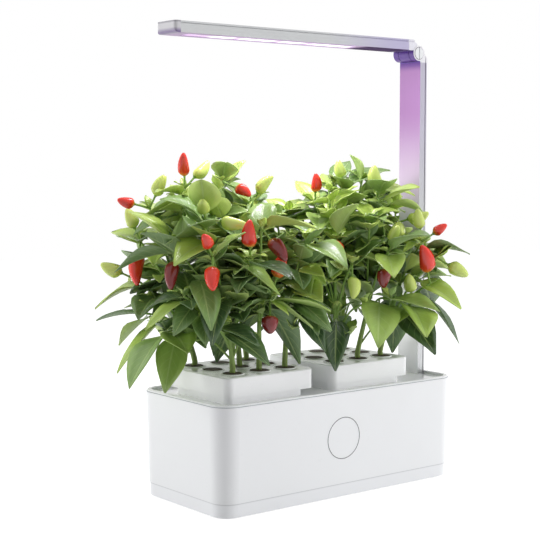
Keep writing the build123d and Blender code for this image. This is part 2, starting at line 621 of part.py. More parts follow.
def make_tray(centre):
    """Tray box, lid, plugs and wick of one tray, and the cut that its neck needs in the deck."""
    x0 = centre - TRAY_WIDTH / 2
    x1 = centre + TRAY_WIDTH / 2
    y0 = -TRAY_DEPTH / 2
    y1 = TRAY_DEPTH / 2
    neck = (x0 + NECK_INSET_LEFT, x1 - NECK_INSET_RIGHT, y0 + NECK_INSET_FRONT, y1 - NECK_INSET_BACK)

    def neck_solid(inset, bottom, top):
        """Upright solid with the neck outline, inset all round."""
        left, right, front, back = neck
        radius = TRAY_CORNER - inset
        return rounded(left + inset, right - inset, front + inset, back - inset, radius, bottom, top)

    well_inset = NECK_STEP + TRAY_WALL
    box = rounded(x0, x1, y0, y1, TRAY_CORNER, TRAY_UNDERSIDE, LID_BOTTOM)
    box += neck_solid(0, DECK_TOP, TRAY_UNDERSIDE)
    box += neck_solid(NECK_STEP, WELL_BOTTOM, DECK_TOP)
    inner = (x0 + TRAY_WALL, x1 - TRAY_WALL, y0 + TRAY_WALL, y1 - TRAY_WALL)
    box -= rounded(*inner, TRAY_CORNER - TRAY_WALL, TRAY_UNDERSIDE + TRAY_FLOOR, LID_BOTTOM)
    well_top = TRAY_UNDERSIDE + TRAY_FLOOR
    box -= neck_solid(well_inset, WELL_BOTTOM + TRAY_FLOOR, well_top)

    well_x = (neck[0] + neck[1]) / 2
    well_y = (neck[2] + neck[3]) / 2
    slot_x = WICK_THICKNESS / 2 + WICK_CLEARANCE
    slot_y = WICK_WIDTH / 2 + WICK_CLEARANCE
    well_floor = WELL_BOTTOM + TRAY_FLOOR
    box -= block(
        well_x - slot_x, well_x + slot_x, well_y - slot_y, well_y + slot_y, WELL_BOTTOM, well_floor,
    )
    wick = block(
        well_x - WICK_HEAD / 2, well_x + WICK_HEAD / 2, well_y - WICK_WIDTH / 2, well_y + WICK_WIDTH / 2,
        well_floor, well_floor + WICK_THICKNESS,
    )
    wick += block(
        well_x - WICK_THICKNESS / 2, well_x + WICK_THICKNESS / 2,
        well_y - WICK_WIDTH / 2, well_y + WICK_WIDTH / 2, TANK_FLOOR_TOP + WICK_END_GAP, well_floor,
    )

    lid = rounded(x0, x1, y0, y1, TRAY_CORNER, LID_BOTTOM, TRAY_TOP)
    lid = chamfer(lid.edges().group_by(Axis.Z)[-1], LID_BEVEL)
    rim_out = TRAY_WALL + LID_CLEARANCE
    rim_in = rim_out + LID_RIM
    rim_low = LID_BOTTOM - LID_RIM_DEPTH
    rim = rounded(
        x0 + rim_out, x1 - rim_out, y0 + rim_out, y1 - rim_out, TRAY_CORNER - rim_out, rim_low, LID_BOTTOM,
    )
    rim -= rounded(
        x0 + rim_in, x1 - rim_in, y0 + rim_in, y1 - rim_in, TRAY_CORNER - rim_in, rim_low, LID_BOTTOM,
    )
    lid += rim
    places = [
        (centre + column * HOLE_PITCH_X, row * HOLE_PITCH_Y) for column in (-1, 0, 1) for row in (-1, 0, 1)
    ]
    hole_radius = PLUG_RADIUS + PLUG_CLEARANCE
    lid -= [
        stacked([ring((x, y, z), (0, 0, 1), hole_radius, HOLE_SIDES) for z in (LID_BOTTOM, TRAY_TOP)])
        for x, y in places
    ]
    plug_levels = [(TRAY_TOP - PLUG_DEPTH, PLUG_TIP_RADIUS), (PLUG_TOP, PLUG_RADIUS)]
    plugs = [
        stacked([ring((x, y, z), (0, 0, 1), radius, HOLE_SIDES) for z, radius in plug_levels])
        for x, y in places
    ]
    cut = neck_solid(NECK_STEP - NECK_CLEARANCE, DECK_BOTTOM, DECK_TOP)
    return box, lid, plugs, wick, cut


# Plants are worked out with plain number triples, so that one seed always gives one bush.
def add(a, b):
    """Sum of two triples."""
    return (a[0] + b[0], a[1] + b[1], a[2] + b[2])


def scale(a, k):
    """A triple times a number."""
    return (a[0] * k, a[1] * k, a[2] * k)


def along(a, b, t):
    """Point a share t of the way from a to b."""
    return add(a, scale(add(b, scale(a, -1)), t))


def cross(a, b):
    """Cross product of two triples."""
    return (a[1] * b[2] - a[2] * b[1], a[2] * b[0] - a[0] * b[2], a[0] * b[1] - a[1] * b[0])


def unit(a):
    """A triple at length one."""
    return scale(a, 1 / math.hypot(*a))


def heading(azimuth, elevation):
    """Direction at an azimuth from +X and an elevation, both in degrees."""
    turn = math.radians(azimuth)
    rise = math.radians(elevation)
    return (math.cos(turn) * math.cos(rise), math.sin(turn) * math.cos(rise), math.sin(rise))


# Growth plan of each bush, measured from its tray's centre at plug top level:
# stems are hole column, hole row and the fork's offset; tips are branch ends;
# fruits are branch number, azimuth, elevation, stalk, length and radius.
LEFT_SEED = 11
RIGHT_SEED = 23
LEFT_STEMS = [
    (-1, -1, (-8, -6, 44)), (-1, 1, (-10, 8, 52)), (0, 0, (-4, 4, 66)),
    (1, -1, (-2, -6, 58)), (1, 1, (-4, 8, 60)), (0, -1, (-6, -8, 48)),
]
LEFT_TIPS = [
    (-13, 10, 178), (-46, 24, 171), (-67, 53, 152), (-69, 67, 120), (-67, 79, 82),
    (-71, 56, 51), (-73, 19, 37), (-55, -21, 144), (-82, -12, 117), (-64, -45, 111),
    (-81, -25, 74), (-59, -36, 46), (13, 3, 156), (-11, -49, 135), (-31, -58, 108),
    (-5, -54, 70), (5, 72, 127), (-20, 100, 116), (31, 39, 108), (-36, -48, 69),
]
LEFT_FRUITS = [
    (3, 232, -50, 16, 36, 7.5), (1, 232, 62, 14, 24, 5.5), (2, 165, 15, 16, 17, 5.5),
    (0, 300, -25, 16, 17, 5.5), (9, 235, -45, 14, 26, 7.0), (11, 232, 76, 22, 30, 7.5),
    (14, 320, -62, 14, 40, 8.0), (8, 250, -58, 14, 28, 6.5), (13, 290, -48, 14, 26, 7.0),
    (15, 300, 70, 20, 24, 7.0), (15, 232, -62, 18, 17, 8.0), (4, 150, 25, 15, 22, 7.0),
    (4, 205, -8, 15, 22, 7.0), (3, 140, 68, 14, 20, 6.5), (2, 300, 62, 14, 22, 6.5),
    (1, 330, 45, 15, 22, 6.0), (7, 320, -8, 15, 24, 6.5), (12, 240, -62, 15, 22, 6.5),
    (12, 320, 48, 14, 22, 6.0),
]
RIGHT_STEMS = [
    (-1, -1, (-4, -6, 52)), (-1, 1, (2, 6, 60)), (0, 0, (4, 0, 66)),
    (1, -1, (8, -8, 50)), (1, 1, (8, 2, 62)), (0, -1, (2, -10, 46)),
]
RIGHT_TIPS = [
    (5, -4, 170), (-28, 3, 155), (25, -32, 162), (45, -36, 134), (-17, 27, 124),
    (-39, -40, 121), (-35, -4, 93), (-32, -57, 98), (2, -72, 109), (49, -71, 117),
    (57, -84, 101), (49, -83, 76), (39, -69, 56), (4, -73, 63), (-32, -36, 47),
    (-22, -65, 59), (46, 40, 128), (66, 24, 118), (12, 42, 61), (50, -48, 91),
]
RIGHT_FRUITS = [
    (5, 232, -20, 14, 22, 7.0), (11, 200, 62, 14, 30, 8.0), (1, 232, 75, 12, 19, 5.5),
    (9, 320, 35, 14, 16, 5.0), (8, 205, -70, 18, 19, 7.0), (4, 232, 0, 15, 22, 6.5),
    (6, 232, 76, 18, 22, 6.5), (3, 185, -10, 15, 24, 7.0), (3, 232, 18, 14, 22, 6.5),
    (9, 240, 76, 14, 20, 6.0), (10, 320, -30, 14, 22, 7.0), (12, 320, 62, 14, 20, 6.5),
    (7, 232, -68, 14, 22, 6.5),
]

# Leaves of one branch: share of the outer half of the branch, and turn from the branch's heading
LEAF_PLAN = [(0.15, 95), (0.5, -85), (0.74, 125), (0.88, -70), (0.98, 10)]
LEAF_TRIES = [0, 40, -40, 80, -80, 120, -120, 160]
LEAF_TILTS = [0, 35]
FRUIT_TRIES = [0, 25, -25, 50, -50, 80, -80, 110, -110, 150]
WOOD_PROBES = 14
FORK_STEP = 0.17

# Leaf outline: share of the length, and share of the half width
LEAF_SECTIONS = [(0.40, 1.0), (0.74, 0.66)]
LEAF_PROBES = [
    (0.2, 0.4), (0.2, -0.4), (0.4, 1), (0.4, 0.5), (0.4, 0), (0.4, -0.5), (0.4, -1), (0.57, 0.8), (0.57, 0.3),
    (0.57, -0.3), (0.57, -0.8), (0.74, 0.66), (0.74, 0), (0.74, -0.66), (0.87, 0.3), (0.87, -0.3), (1, 0),
]
FRUIT_PROBES = [0, 0.33, 0.66, 1]
FRUIT_SECTIONS = [(0.0, 0.6), (0.16, 1.0), (0.6, 0.88), (1.0, 0.18)]


def leaf_point(leaf, share, side, lift):
    """Point of a leaf at a share of its length, a share of its half width, and a lift off it."""
    base, axis, normal, length, droop = leaf
    across = unit(cross(axis, normal))
    half = length * LEAF_WIDTH_RATIO / 2 * side
    spine = add(base, scale(axis, length * share))
    spine = add(spine, (0, 0, -droop * length * share * share))
    return add(add(spine, scale(across, half)), scale(normal, abs(half) * LEAF_FOLD + lift))


def roomy(point, tray_x, side):
    """Whether a point of a plant keeps clear of the pod and of the other bush."""
    x, y, z = point
    if side * (x - DIVIDE_X) < PLANT_ROOM / 2 or z > CANOPY_TOP or z < LIP_TOP + PLANT_ROOM:
        return False
    over_tray = abs(x - tray_x) < TRAY_WIDTH / 2 + PLANT_ROOM and abs(y) < TRAY_DEPTH / 2 + PLANT_ROOM
    if over_tray and z < PLUG_TOP + PLANT_ROOM:
        return False
    by_post_x = POST_FACE_X - POST_ROOM < x < POST_OUTER_X + POST_ROOM
    by_post_y = POST_FRONT - POST_ROOM < y < POST_BACK + POST_ROOM
    return not (by_post_x and by_post_y)


def fork_distance(fork, end):
    """How far a branch end is from a fork, with height counted half."""
    return math.hypot(fork[0] - end[0], fork[1] - end[1], (fork[2] - end[2]) / 2)


def plan_bush(seed, tray_x, side, stems, tips, fruits):
    """Tubes, leaves and fruits of one bush as plain numbers."""
    chance = random.Random(seed)
    root = (tray_x, 0, PLUG_TOP)
    tubes = []
    forks = []
    for column, row, fork in stems:
        foot = add(root, (column * HOLE_PITCH_X, row * HOLE_PITCH_Y, 0))
        top = add(foot, fork)
        bend = add(foot, (0, 0, STEM_STUB))
        forks.append((bend, top))
        tubes.append(((foot, bend, top), (STEM_RADIUS, STEM_RADIUS, STEM_TOP_RADIUS), STEM_SIDES))
    branches = []
    taken_forks = [0] * len(forks)
    for tip in tips:
        end = add(root, tip)
        stem = min(range(len(forks)), key=lambda k: fork_distance(forks[k][1], end))
        bend, top = forks[stem]
        start = along(top, bend, FORK_STEP * taken_forks[stem])
        taken_forks[stem] += 1
        elbow = add(along(start, end, ELBOW_SHARE), (0, 0, ELBOW_RISE))
        branches.append((start, elbow, end))
        tubes.append(((start, elbow, end), (BRANCH_RADIUS, TWIG_RADIUS, TWIG_RADIUS), TWIG_SIDES))

    wood = [
        along(near, far, k / WOOD_PROBES)
        for path, _, _ in tubes
        for near, far in zip(path, path[1:])
        for k in range(WOOD_PROBES + 1)
    ]
    pods = []
    pod_points = []
    for branch, azimuth, elevation, stalk, length, radius in fruits:
        tip = branches[branch][2]
        for change in FRUIT_TRIES:
            way = heading(azimuth + change, elevation)
            crown = add(tip, scale(way, stalk))
            points = [add(crown, scale(way, length * share)) for share in FRUIT_PROBES]
            free = all(roomy(point, tray_x, side) for point in points)
            near = [math.dist(point, other) for point in points for other in wood]
            near += [math.dist(point, other) - size for point in points for other, size in pod_points]
            if free and min(near) > radius + FRUIT_ROOM:
                pods.append((crown, way, length, radius))
                pod_points += [(point, radius) for point in points]
                tubes.append(((tip, crown), (STALK_RADIUS, STALK_RADIUS), TWIG_SIDES))
                break

    leaves = []
    taken = []

    def fits(points):
        """Whether a leaf keeps clear of the pod, the wood, every fruit and the other leaves."""
        if not all(roomy(point, tray_x, side) for point in points):
            return False
        for centre, radius in pod_points:
            if min(math.dist(point, centre) for point in points) < radius + FRUIT_ROOM + LEAF_ROOM / 2:
                return False
        if any(math.dist(point, other) < WOOD_ROOM for point in points for other in wood):
            return False
        near = [other for other in taken if math.dist(points[0], other[0]) < 2 * LEAF_LENGTH]
        for other in near:
            if any(math.dist(point, far) < LEAF_ROOM for far in other for point in points):
                return False
        return True

    for start, elbow, end in branches:
        forward = math.degrees(math.atan2(end[1] - start[1], end[0] - start[0]))
        height = (end[2] - PLUG_TOP) / (CANOPY_TOP - PLUG_TOP)
        for share, turn in LEAF_PLAN:
            length = LEAF_LENGTH + LEAF_SPREAD * chance.uniform(-1, 1)
            azimuth = forward + turn + LEAF_TURN_SPREAD * chance.uniform(-1, 1)
            rise = LEAF_LOW_RISE + LEAF_RISE_GAIN * height * share
            rise += LEAF_RISE_SPREAD * chance.uniform(-1, 1)
            droop = chance.uniform(LEAF_LEAST_DROOP, LEAF_MOST_DROOP)
            roll = LEAF_ROLL_SPREAD * chance.uniform(-1, 1)
            place = along(elbow, end, share)
            for tilt in LEAF_TILTS:
                options = [(azimuth + change, rise + tilt) for change in LEAF_TRIES]
                made = []
                for way, slope in options:
                    axis = heading(way, slope)
                    sideways = unit(cross(axis, (0, 0, 1)))
                    normal = unit(add(cross(sideways, axis), scale(sideways, roll)))
                    base = add(place, scale(axis, -LEAF_ROOT))
                    made.append((base, axis, normal, length, droop))
                for leaf in made:
                    points = [leaf_point(leaf, along_share, across, 0) for along_share, across in LEAF_PROBES]
                    if fits(points):
                        leaves.append(leaf)
                        taken.append(points)
                        break
                else:
                    continue
                break
    return tubes, leaves, pods


def faceted(points, loops):
    """Closed solid from corner points and the flat faces between them."""
    faces = [Face(Wire.make_polygon([Vector(*points[k]) for k in loop])) for loop in loops]
    return Solid(Shell(faces))


def ring(centre, way, radius, sides):
    """Corners of a regular polygon square to a direction."""
    helper = (0.36, 0.93, 0.1)
    first = unit(cross(way, helper))
    second = cross(way, first)
    corners = []
    for k in range(sides):
        angle = 2 * math.pi * k / sides
        arm_out = add(scale(first, math.cos(angle)), scale(second, math.sin(angle)))
        corners.append(add(centre, scale(arm_out, radius)))
    return corners


def stacked(rings):
    """Solid through a stack of polygons with the same number of corners."""
    sides = len(rings[0])
    points = [corner for corners in rings for corner in corners]
    loops = [list(range(sides))[::-1], list(range(len(points) - sides, len(points)))]
    for level in range(len(rings) - 1):
        low = level * sides
        for k in range(sides):
            after = (k + 1) % sides
            loops.append([low + k, low + after, low + sides + after])
            loops.append([low + k, low + sides + after, low + sides + k])
    return faceted(points, loops)


def tube_solid(tube):
    """Stem through two or more points, square at its ends and mitred at its bends."""
    path, radii, sides = tube
    ways = [unit(add(far, scale(near, -1))) for near, far in zip(path, path[1:])]
    joints = [ways[0]] + [unit(add(one, two)) for one, two in zip(ways, ways[1:])] + [ways[-1]]
    rings = [ring(point, way, radius, sides) for point, way, radius in zip(path, joints, radii)]
    return stacked(rings)


def leaf_solid(leaf):
    """Folded, arched leaf with sharp edges."""
    (near, near_half), (far, far_half) = LEAF_SECTIONS
    points = [
        leaf_point(leaf, 0, 0, 0),
        leaf_point(leaf, near, near_half, 0), leaf_point(leaf, near, -near_half, 0),
        leaf_point(leaf, far, far_half, 0), leaf_point(leaf, far, -far_half, 0),
        leaf_point(leaf, 1, 0, 0),
        leaf_point(leaf, LEAF_RIDGE, 0, LEAF_HALF_THICKNESS),
        leaf_point(leaf, LEAF_RIDGE, 0, -LEAF_HALF_THICKNESS),
    ]
    upper = [(0, 6, 1), (1, 6, 3), (3, 6, 5), (0, 2, 6), (2, 4, 6), (4, 5, 6)]
    lower = [(0, 1, 7), (1, 3, 7), (3, 5, 7), (0, 7, 2), (2, 7, 4), (4, 7, 5)]
    return faceted(points, upper + lower)


def fruit_solid(pod):
    """Chilli fruit as a stack of polygons that ends in a blunt tip."""
    crown, way, length, radius = pod
    return stacked([
        ring(add(crown, scale(way, length * share)), way, radius * width, FRUIT_SIDES)
        for share, width in FRUIT_SECTIONS
    ])


def grow(plan):
    """Fused stems and leaves of one bush, and its separate fruits."""
    tubes, leaves, pods = plan
    pieces = [tube_solid(tube) for tube in tubes] + [leaf_solid(leaf) for leaf in leaves]
    bush = pieces[0].fuse(*pieces[1:])
    return bush, [fruit_solid(pod) for pod in pods]


left_plan = plan_bush(LEFT_SEED, LEFT_TRAY_X, -1, LEFT_STEMS, LEFT_TIPS, LEFT_FRUITS)
right_plan = plan_bush(RIGHT_SEED, RIGHT_TRAY_X, 1, RIGHT_STEMS, RIGHT_TIPS, RIGHT_FRUITS)

os.makedirs("parts", exist_ok=True)
for side_name, centre_x, plan in (("left", LEFT_TRAY_X, left_plan), ("right", RIGHT_TRAY_X, right_plan)):
    tray_box, tray_lid, grow_plugs, tray_wick, neck_cut = make_tray(centre_x)
    deck -= neck_cut
    bush_solid, fruit_solids = grow(plan)
    save(side_name + "_tray_box", tray_box)
    save(side_name + "_tray_lid", tray_lid)
    save(side_name + "_grow_plugs", *grow_plugs)
    save(side_name + "_wick", tray_wick)
    save(side_name + "_plants", bush_solid)
    save(side_name + "_fruits", *fruit_solids)

save("base_plinth", plinth)
save("rubber_feet", *feet)
save("plinth_screws", *plinth_screws)
save("water_tank", tank)
save("rim_seal", seal)
save("deck_cover", deck)
save("post_socket", socket)
save("driver_board", driver)
save("dc_inlet", inlet)
save("inlet_leads", *inlet_leads)
save("post_channel", channel)
save("post_rear_cover", rear_cover)
save("post_knuckle", post_knuckle)
save("post_lead", post_lead)
save("hinge_pin", hinge_pin)
save("hinge_screw", hinge_screw)
save("hinge_nut", hinge_nut)
save("friction_washers", *washers)
save("arm_channel", arm)
save("arm_top_cover", top_cover)
save("arm_tip_cap", tip)
save("arm_knuckle", arm_knuckle)
save("arm_lead", arm_lead)
save("led_lens", lens)
save("led_board", led_board)
save("led_chips", *leds)
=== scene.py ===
import logging
import math
import random
from collections.abc import Sequence
from dataclasses import dataclass, field, replace
from enum import Enum
from typing import Any

import bmesh
import bpy
from mathutils import Matrix, Vector


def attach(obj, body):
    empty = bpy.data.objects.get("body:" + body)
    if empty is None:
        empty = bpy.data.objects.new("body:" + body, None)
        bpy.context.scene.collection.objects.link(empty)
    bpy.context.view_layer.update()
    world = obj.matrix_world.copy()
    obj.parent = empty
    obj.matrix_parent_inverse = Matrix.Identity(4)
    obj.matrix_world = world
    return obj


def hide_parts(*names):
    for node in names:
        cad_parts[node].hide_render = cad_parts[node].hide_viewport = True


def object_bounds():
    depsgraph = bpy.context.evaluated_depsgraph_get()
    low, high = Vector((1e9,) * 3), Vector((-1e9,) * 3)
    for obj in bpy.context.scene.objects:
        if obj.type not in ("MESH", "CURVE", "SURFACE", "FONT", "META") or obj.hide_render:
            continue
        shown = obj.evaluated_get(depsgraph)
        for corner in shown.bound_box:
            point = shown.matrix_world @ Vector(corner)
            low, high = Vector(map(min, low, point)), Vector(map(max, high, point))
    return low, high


# Indoor grow pod: finishes of the tank, trays and folding lamp, and the chilli bushes leaf by leaf.
# Sizes are in millimetres, in the part's own frame, and become metres where a mesh is made.

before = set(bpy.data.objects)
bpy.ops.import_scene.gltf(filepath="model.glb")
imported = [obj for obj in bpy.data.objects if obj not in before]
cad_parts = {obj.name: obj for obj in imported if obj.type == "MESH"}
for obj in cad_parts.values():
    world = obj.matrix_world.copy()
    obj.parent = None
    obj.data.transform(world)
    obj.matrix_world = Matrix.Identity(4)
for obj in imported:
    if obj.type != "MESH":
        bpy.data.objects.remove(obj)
CAD_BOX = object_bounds()
MM = 0.001
LOG = logging.getLogger("grow_pod")

Triple = tuple[float, float, float]
Colour = tuple[float, float, float]
# A low and a high number; a noise's scale and detail; a bump's strength and its depth in millimetres
Span = tuple[float, float]
Pattern = tuple[float, float]
Relief = tuple[float, float]


class Value:
    """A number inside a material: a node's output that takes part in plain sums."""

    def __init__(self, sheet: "Sheet", socket: bpy.types.NodeSocket) -> None:
        """Wraps one output socket of a sheet."""
        self.sheet = sheet
        self.socket = socket

    def _sum(self, operation: str, first: "Value | float", second: "Value | float") -> "Value":
        """Adds one Math node."""
        return self.sheet.node("ShaderNodeMath", {"operation": operation}, {0: first, 1: second})

    def __add__(self, other: "Value | float") -> "Value":
        """Sum."""
        return self._sum("ADD", self, other)

    __radd__ = __add__

    def __sub__(self, other: "Value | float") -> "Value":
        """Difference."""
        return self._sum("SUBTRACT", self, other)

    def __rsub__(self, other: "Value | float") -> "Value":
        """Difference with the plain number first."""
        return self._sum("SUBTRACT", other, self)

    def __mul__(self, other: "Value | float") -> "Value":
        """Product."""
        return self._sum("MULTIPLY", self, other)

    __rmul__ = __mul__

    def __abs__(self) -> "Value":
        """Size without sign."""
        return self._sum("ABSOLUTE", self, 0.0)

    def wave(self) -> "Value":
        """Sine of the value, in radians."""
        return self._sum("SINE", self, 0.0)

    def most(self, other: "Value | float") -> "Value":
        """The larger of two values."""
        return self._sum("MAXIMUM", self, other)

    def within(self, span: Span) -> "Value":
        """A value from 0 to 1 laid out over a span."""
        return self * (span[1] - span[0]) + span[0]


class Sheet:
    """The node sheet of one material."""

    def __init__(self, tree: bpy.types.NodeTree) -> None:
        """Opens a node tree for writing."""
        self.tree = tree

    def node(self, kind: str, settings: dict[str, Any], inputs: dict[Any, Any], output: Any = 0) -> Value:
        """Adds a node.

        Args:
            kind: The node's type.
            settings: The node's own options, set first. "stops" fills a colour ramp.
            inputs: Values or links for its sockets, by name or number.
            output: Name or number of the output to hand back.

        Returns:
            The wanted output.
        """
        made = self.tree.nodes.new(kind)
        for name, setting in settings.items():
            if name == "stops":
                self._fill_ramp(made.color_ramp, setting)
            else:
                setattr(made, name, setting)
        self._fill_sockets(made, inputs)
        return Value(self, made.outputs[output])

    @staticmethod
    def _fill_ramp(ramp: bpy.types.ColorRamp, stops: Sequence[tuple[float, Colour]]) -> None:
        """Sets the stops of a colour ramp.

        Args:
            ramp: The ramp of a node.
            stops: Each stop's place from 0 to 1, and its colour.
        """
        while len(ramp.elements) < len(stops):
            ramp.elements.new(1.0)
        for element, (place, colour) in zip(ramp.elements, stops):
            element.position = place
            element.color = (*colour, 1.0)

    def _fill_sockets(self, node: bpy.types.Node, inputs: dict[Any, Any]) -> None:
        """Links values to a node's sockets, and sets plain numbers straight on them.

        Args:
            node: The node.
            inputs: What goes in, by the socket's name or number.
        """
        for key, given in inputs.items():
            if isinstance(given, Value):
                self.tree.links.new(given.socket, node.inputs[key])
            else:
                node.inputs[key].default_value = given

    def point(self) -> Value:
        """Object coordinates, in metres."""
        return self.node("ShaderNodeTexCoord", {}, {}, "Object")

    def axis(self, name: str) -> Value:
        """One object coordinate, in metres."""
        return self.node("ShaderNodeSeparateXYZ", {}, {0: self.point()}, name)

    def attribute(self, name: str) -> Value:
        """A number that the mesh carries."""
        return self.node("ShaderNodeAttribute", {"attribute_name": name}, {}, "Fac")

    def noise(self, scale: float, detail: float, vector: Value | None = None) -> Value:
        """Cloudy noise between 0 and 1."""
        place = vector or self.point()
        return self.node("ShaderNodeTexNoise", {}, {"Vector": place, "Scale": scale, "Detail": detail})

    def streaks(self, factors: Triple, detail: float) -> Value:
        """Cloudy noise, pressed together by a factor on each axis."""
        place = self.node("ShaderNodeVectorMath", {"operation": "MULTIPLY"}, {0: self.point(), 1: factors})
        return self.noise(1.0, detail, place)

    def pores(self, scale: float) -> Value:
        """Distance to the nearest of many scattered points."""
        return self.node("ShaderNodeTexVoronoi", {}, {"Vector": self.point(), "Scale": scale}, "Distance")

    def step(self, value: Value, low: float, high: float) -> Value:
        """Smooth rise from 0 at low to 1 at high."""
        inputs = {"Value": value, "From Min": low, "From Max": high}
        return self.node("ShaderNodeMapRange", {"interpolation_type": "SMOOTHSTEP"}, inputs)

    def ramp(self, value: Value, stops: Sequence[tuple[float, Colour]]) -> Value:
        """Colour read off a ramp."""
        return self.node("ShaderNodeValToRGB", {"stops": stops}, {"Fac": value}, "Color")

    def blend(self, share: Value, low: Value | Colour, high: Value | Colour) -> Value:
        """Mixes two colours.

        Args:
            share: Share of the second colour.
            low: The first colour.
            high: The second colour.

        Returns:
            The mixed colour.
        """
        low = low if isinstance(low, Value) else (*low, 1.0)
        high = high if isinstance(high, Value) else (*high, 1.0)
        return self.node("ShaderNodeMix", {"data_type": "RGBA"}, {0: share, 6: low, 7: high}, 2)

    def vary(self, share: Value, colour: Colour, shades: Span) -> Value:
        """One colour, from its darker to its lighter shade."""
        return self.blend(share, shade(colour, shades[0]), shade(colour, shades[1]))

    def bump(self, height: Value, relief: Relief) -> Value:
        """Surface normal of a relief."""
        inputs = {"Strength": relief[0], "Distance": relief[1] * MM, "Height": height}
        return self.node("ShaderNodeBump", {}, inputs)

    def surface(self, inputs: dict[str, Any]) -> None:
        """Fills the sockets of the surface shader."""
        self._fill_sockets(self.tree.nodes["Principled BSDF"], inputs)


def shade(colour: Colour, factor: float) -> Colour:
    """A colour made lighter or darker."""
    return (colour[0] * factor, colour[1] * factor, colour[2] * factor)


@dataclass(frozen=True)
class PaintedLight:
    """A colour painted over a finish in one region of the part's frame, as painted light and shade, such as
    the lamp's violet light.

    Each limit is an axis, where the painted colour starts and where it is full, in millimetres.
    """

    colour: Colour
    limits: tuple[tuple[str, float, float], ...]
    strength: float = 1.0
    matt: bool = False

    def share(self, sheet: Sheet) -> Value:
        """How much of the painted colour there is at each place."""
        steps = [sheet.step(sheet.axis(name), start * MM, full * MM) for name, start, full in self.limits]
        return math.prod(steps, start=self.strength)

    def over(self, sheet: Sheet, tint: Value) -> Value:
        """Lays the painted colour over a colour."""
        return sheet.blend(self.share(sheet), tint, self.colour)


@dataclass(frozen=True)
class Finish:
    """One surface finish, made into a material when it is first used."""

    name: str

    def paint(self, sheet: Sheet) -> None:
        """Writes the finish on a material's sheet."""
        raise NotImplementedError

    def material(self) -> bpy.types.Material:
        """Makes the finish a material, once.

        Returns:
            The material.
        """
        known = bpy.data.materials.get(self.name)
        if known:
            return known
        made = bpy.data.materials.new(self.name)
        made.use_nodes = True
        self.paint(Sheet(made.node_tree))
        return made


@dataclass(frozen=True)
class MouldedPlastic(Finish):
    """Injection-moulded plastic: fine tool grain, faint flow clouds and specks of dust."""

    colour: Colour
    roughness: float
    grain_strength: float = 0.12
    coat: float = 0.0
    painted_light: tuple[PaintedLight, ...] = ()
    clouds: Pattern = (9.0, 4.0)
    cloud_shades: Span = (0.965, 1.015)
    cloud_gloss: float = 0.10
    grain: Pattern = (1400.0, 2.0)
    grain_gloss: float = 0.06
    grain_depth: float = 0.2
    specks: Pattern = (260.0, 1.0)
    speck_edge: Span = (0.70, 0.78)
    speck_share: float = 0.08
    speck_shade: float = 0.72
    coat_roughness: float = 0.06

    def paint(self, sheet: Sheet) -> None:
        """Paints clouds, specks and painted light and shade over a fine grain.

        Args:
            sheet: The material's sheet.
        """
        clouds = sheet.noise(*self.clouds)
        grain = sheet.noise(*self.grain)
        specks = sheet.step(sheet.noise(*self.specks), *self.speck_edge)
        tint = sheet.vary(clouds, self.colour, self.cloud_shades)
        tint = sheet.blend(specks * self.speck_share, tint, shade(self.colour, self.speck_shade))
        for tinge in self.painted_light:
            tint = tinge.over(sheet, tint)
        rough = self.roughness + self.cloud_gloss * (clouds - 0.5)
        sheet.surface({
            "Base Color": tint,
            "Roughness": rough + self.grain_gloss * (grain - 0.5),
            "Coat Weight": self.coat,
            "Coat Roughness": self.coat_roughness,
            "Normal": sheet.bump(grain, (self.grain_strength, self.grain_depth)),
        })


class Brushing(Enum):
    """Which way the metal was drawn and brushed."""

    ALONG_X = (14.0, 900.0, 900.0)
    ALONG_Z = (900.0, 900.0, 14.0)


@dataclass(frozen=True)
class SatinAluminium(Finish):
    """Drawn aluminium with a satin anodised skin."""

    colour: Colour
    brushing: Brushing
    painted_light: tuple[PaintedLight, ...] = ()
    line_detail: float = 3.0
    line_shades: Span = (0.88, 1.10)
    clouds: Pattern = (16.0, 3.0)
    cloud_share: float = 0.35
    cloud_shade: float = 0.86
    metal: Span = (0.85, 0.90)
    roughness: Span = (0.34, 0.50)
    matt_gain: float = 0.5
    relief: Relief = (0.10, 0.1)

    def paint(self, sheet: Sheet) -> None:
        """Paints clouds, and painted light and shade, over the brushed lines.

        Args:
            sheet: The material's sheet.
        """
        lines = sheet.streaks(self.brushing.value, self.line_detail)
        clouds = sheet.noise(*self.clouds)
        tint = sheet.vary(lines, self.colour, self.line_shades)
        tint = sheet.blend(clouds * self.cloud_share, tint, shade(self.colour, self.cloud_shade))
        metal = lines.within(self.metal)
        rough = lines.within(self.roughness)
        for tinge in self.painted_light:
            tint = tinge.over(sheet, tint)
            if tinge.matt:
                share = tinge.share(sheet)
                metal = metal * (1 - share)
                rough = rough + self.matt_gain * share
        sheet.surface({
            "Base Color": tint,
            "Metallic": metal,
            "Roughness": rough,
            "Normal": sheet.bump(lines, self.relief),
        })


@dataclass(frozen=True)
class SoftRubber(Finish):
    """Matt rubber with a dusty bloom."""

    colour: Colour
    bloom: Pattern = (45.0, 4.0)
    bloom_shades: Span = (0.82, 1.2)
    roughness: Span = (0.62, 0.82)
    grain: Pattern = (900.0, 3.0)
    relief: Relief = (0.3, 0.2)

    def paint(self, sheet: Sheet) -> None:
        """Paints the bloom over a fine grain.

        Args:
            sheet: The material's sheet.
        """
        bloom = sheet.noise(*self.bloom)
        sheet.surface({
            "Base Color": sheet.vary(bloom, self.colour, self.bloom_shades),
            "Roughness": bloom.within(self.roughness),
            "Normal": sheet.bump(sheet.noise(*self.grain), self.relief),
        })


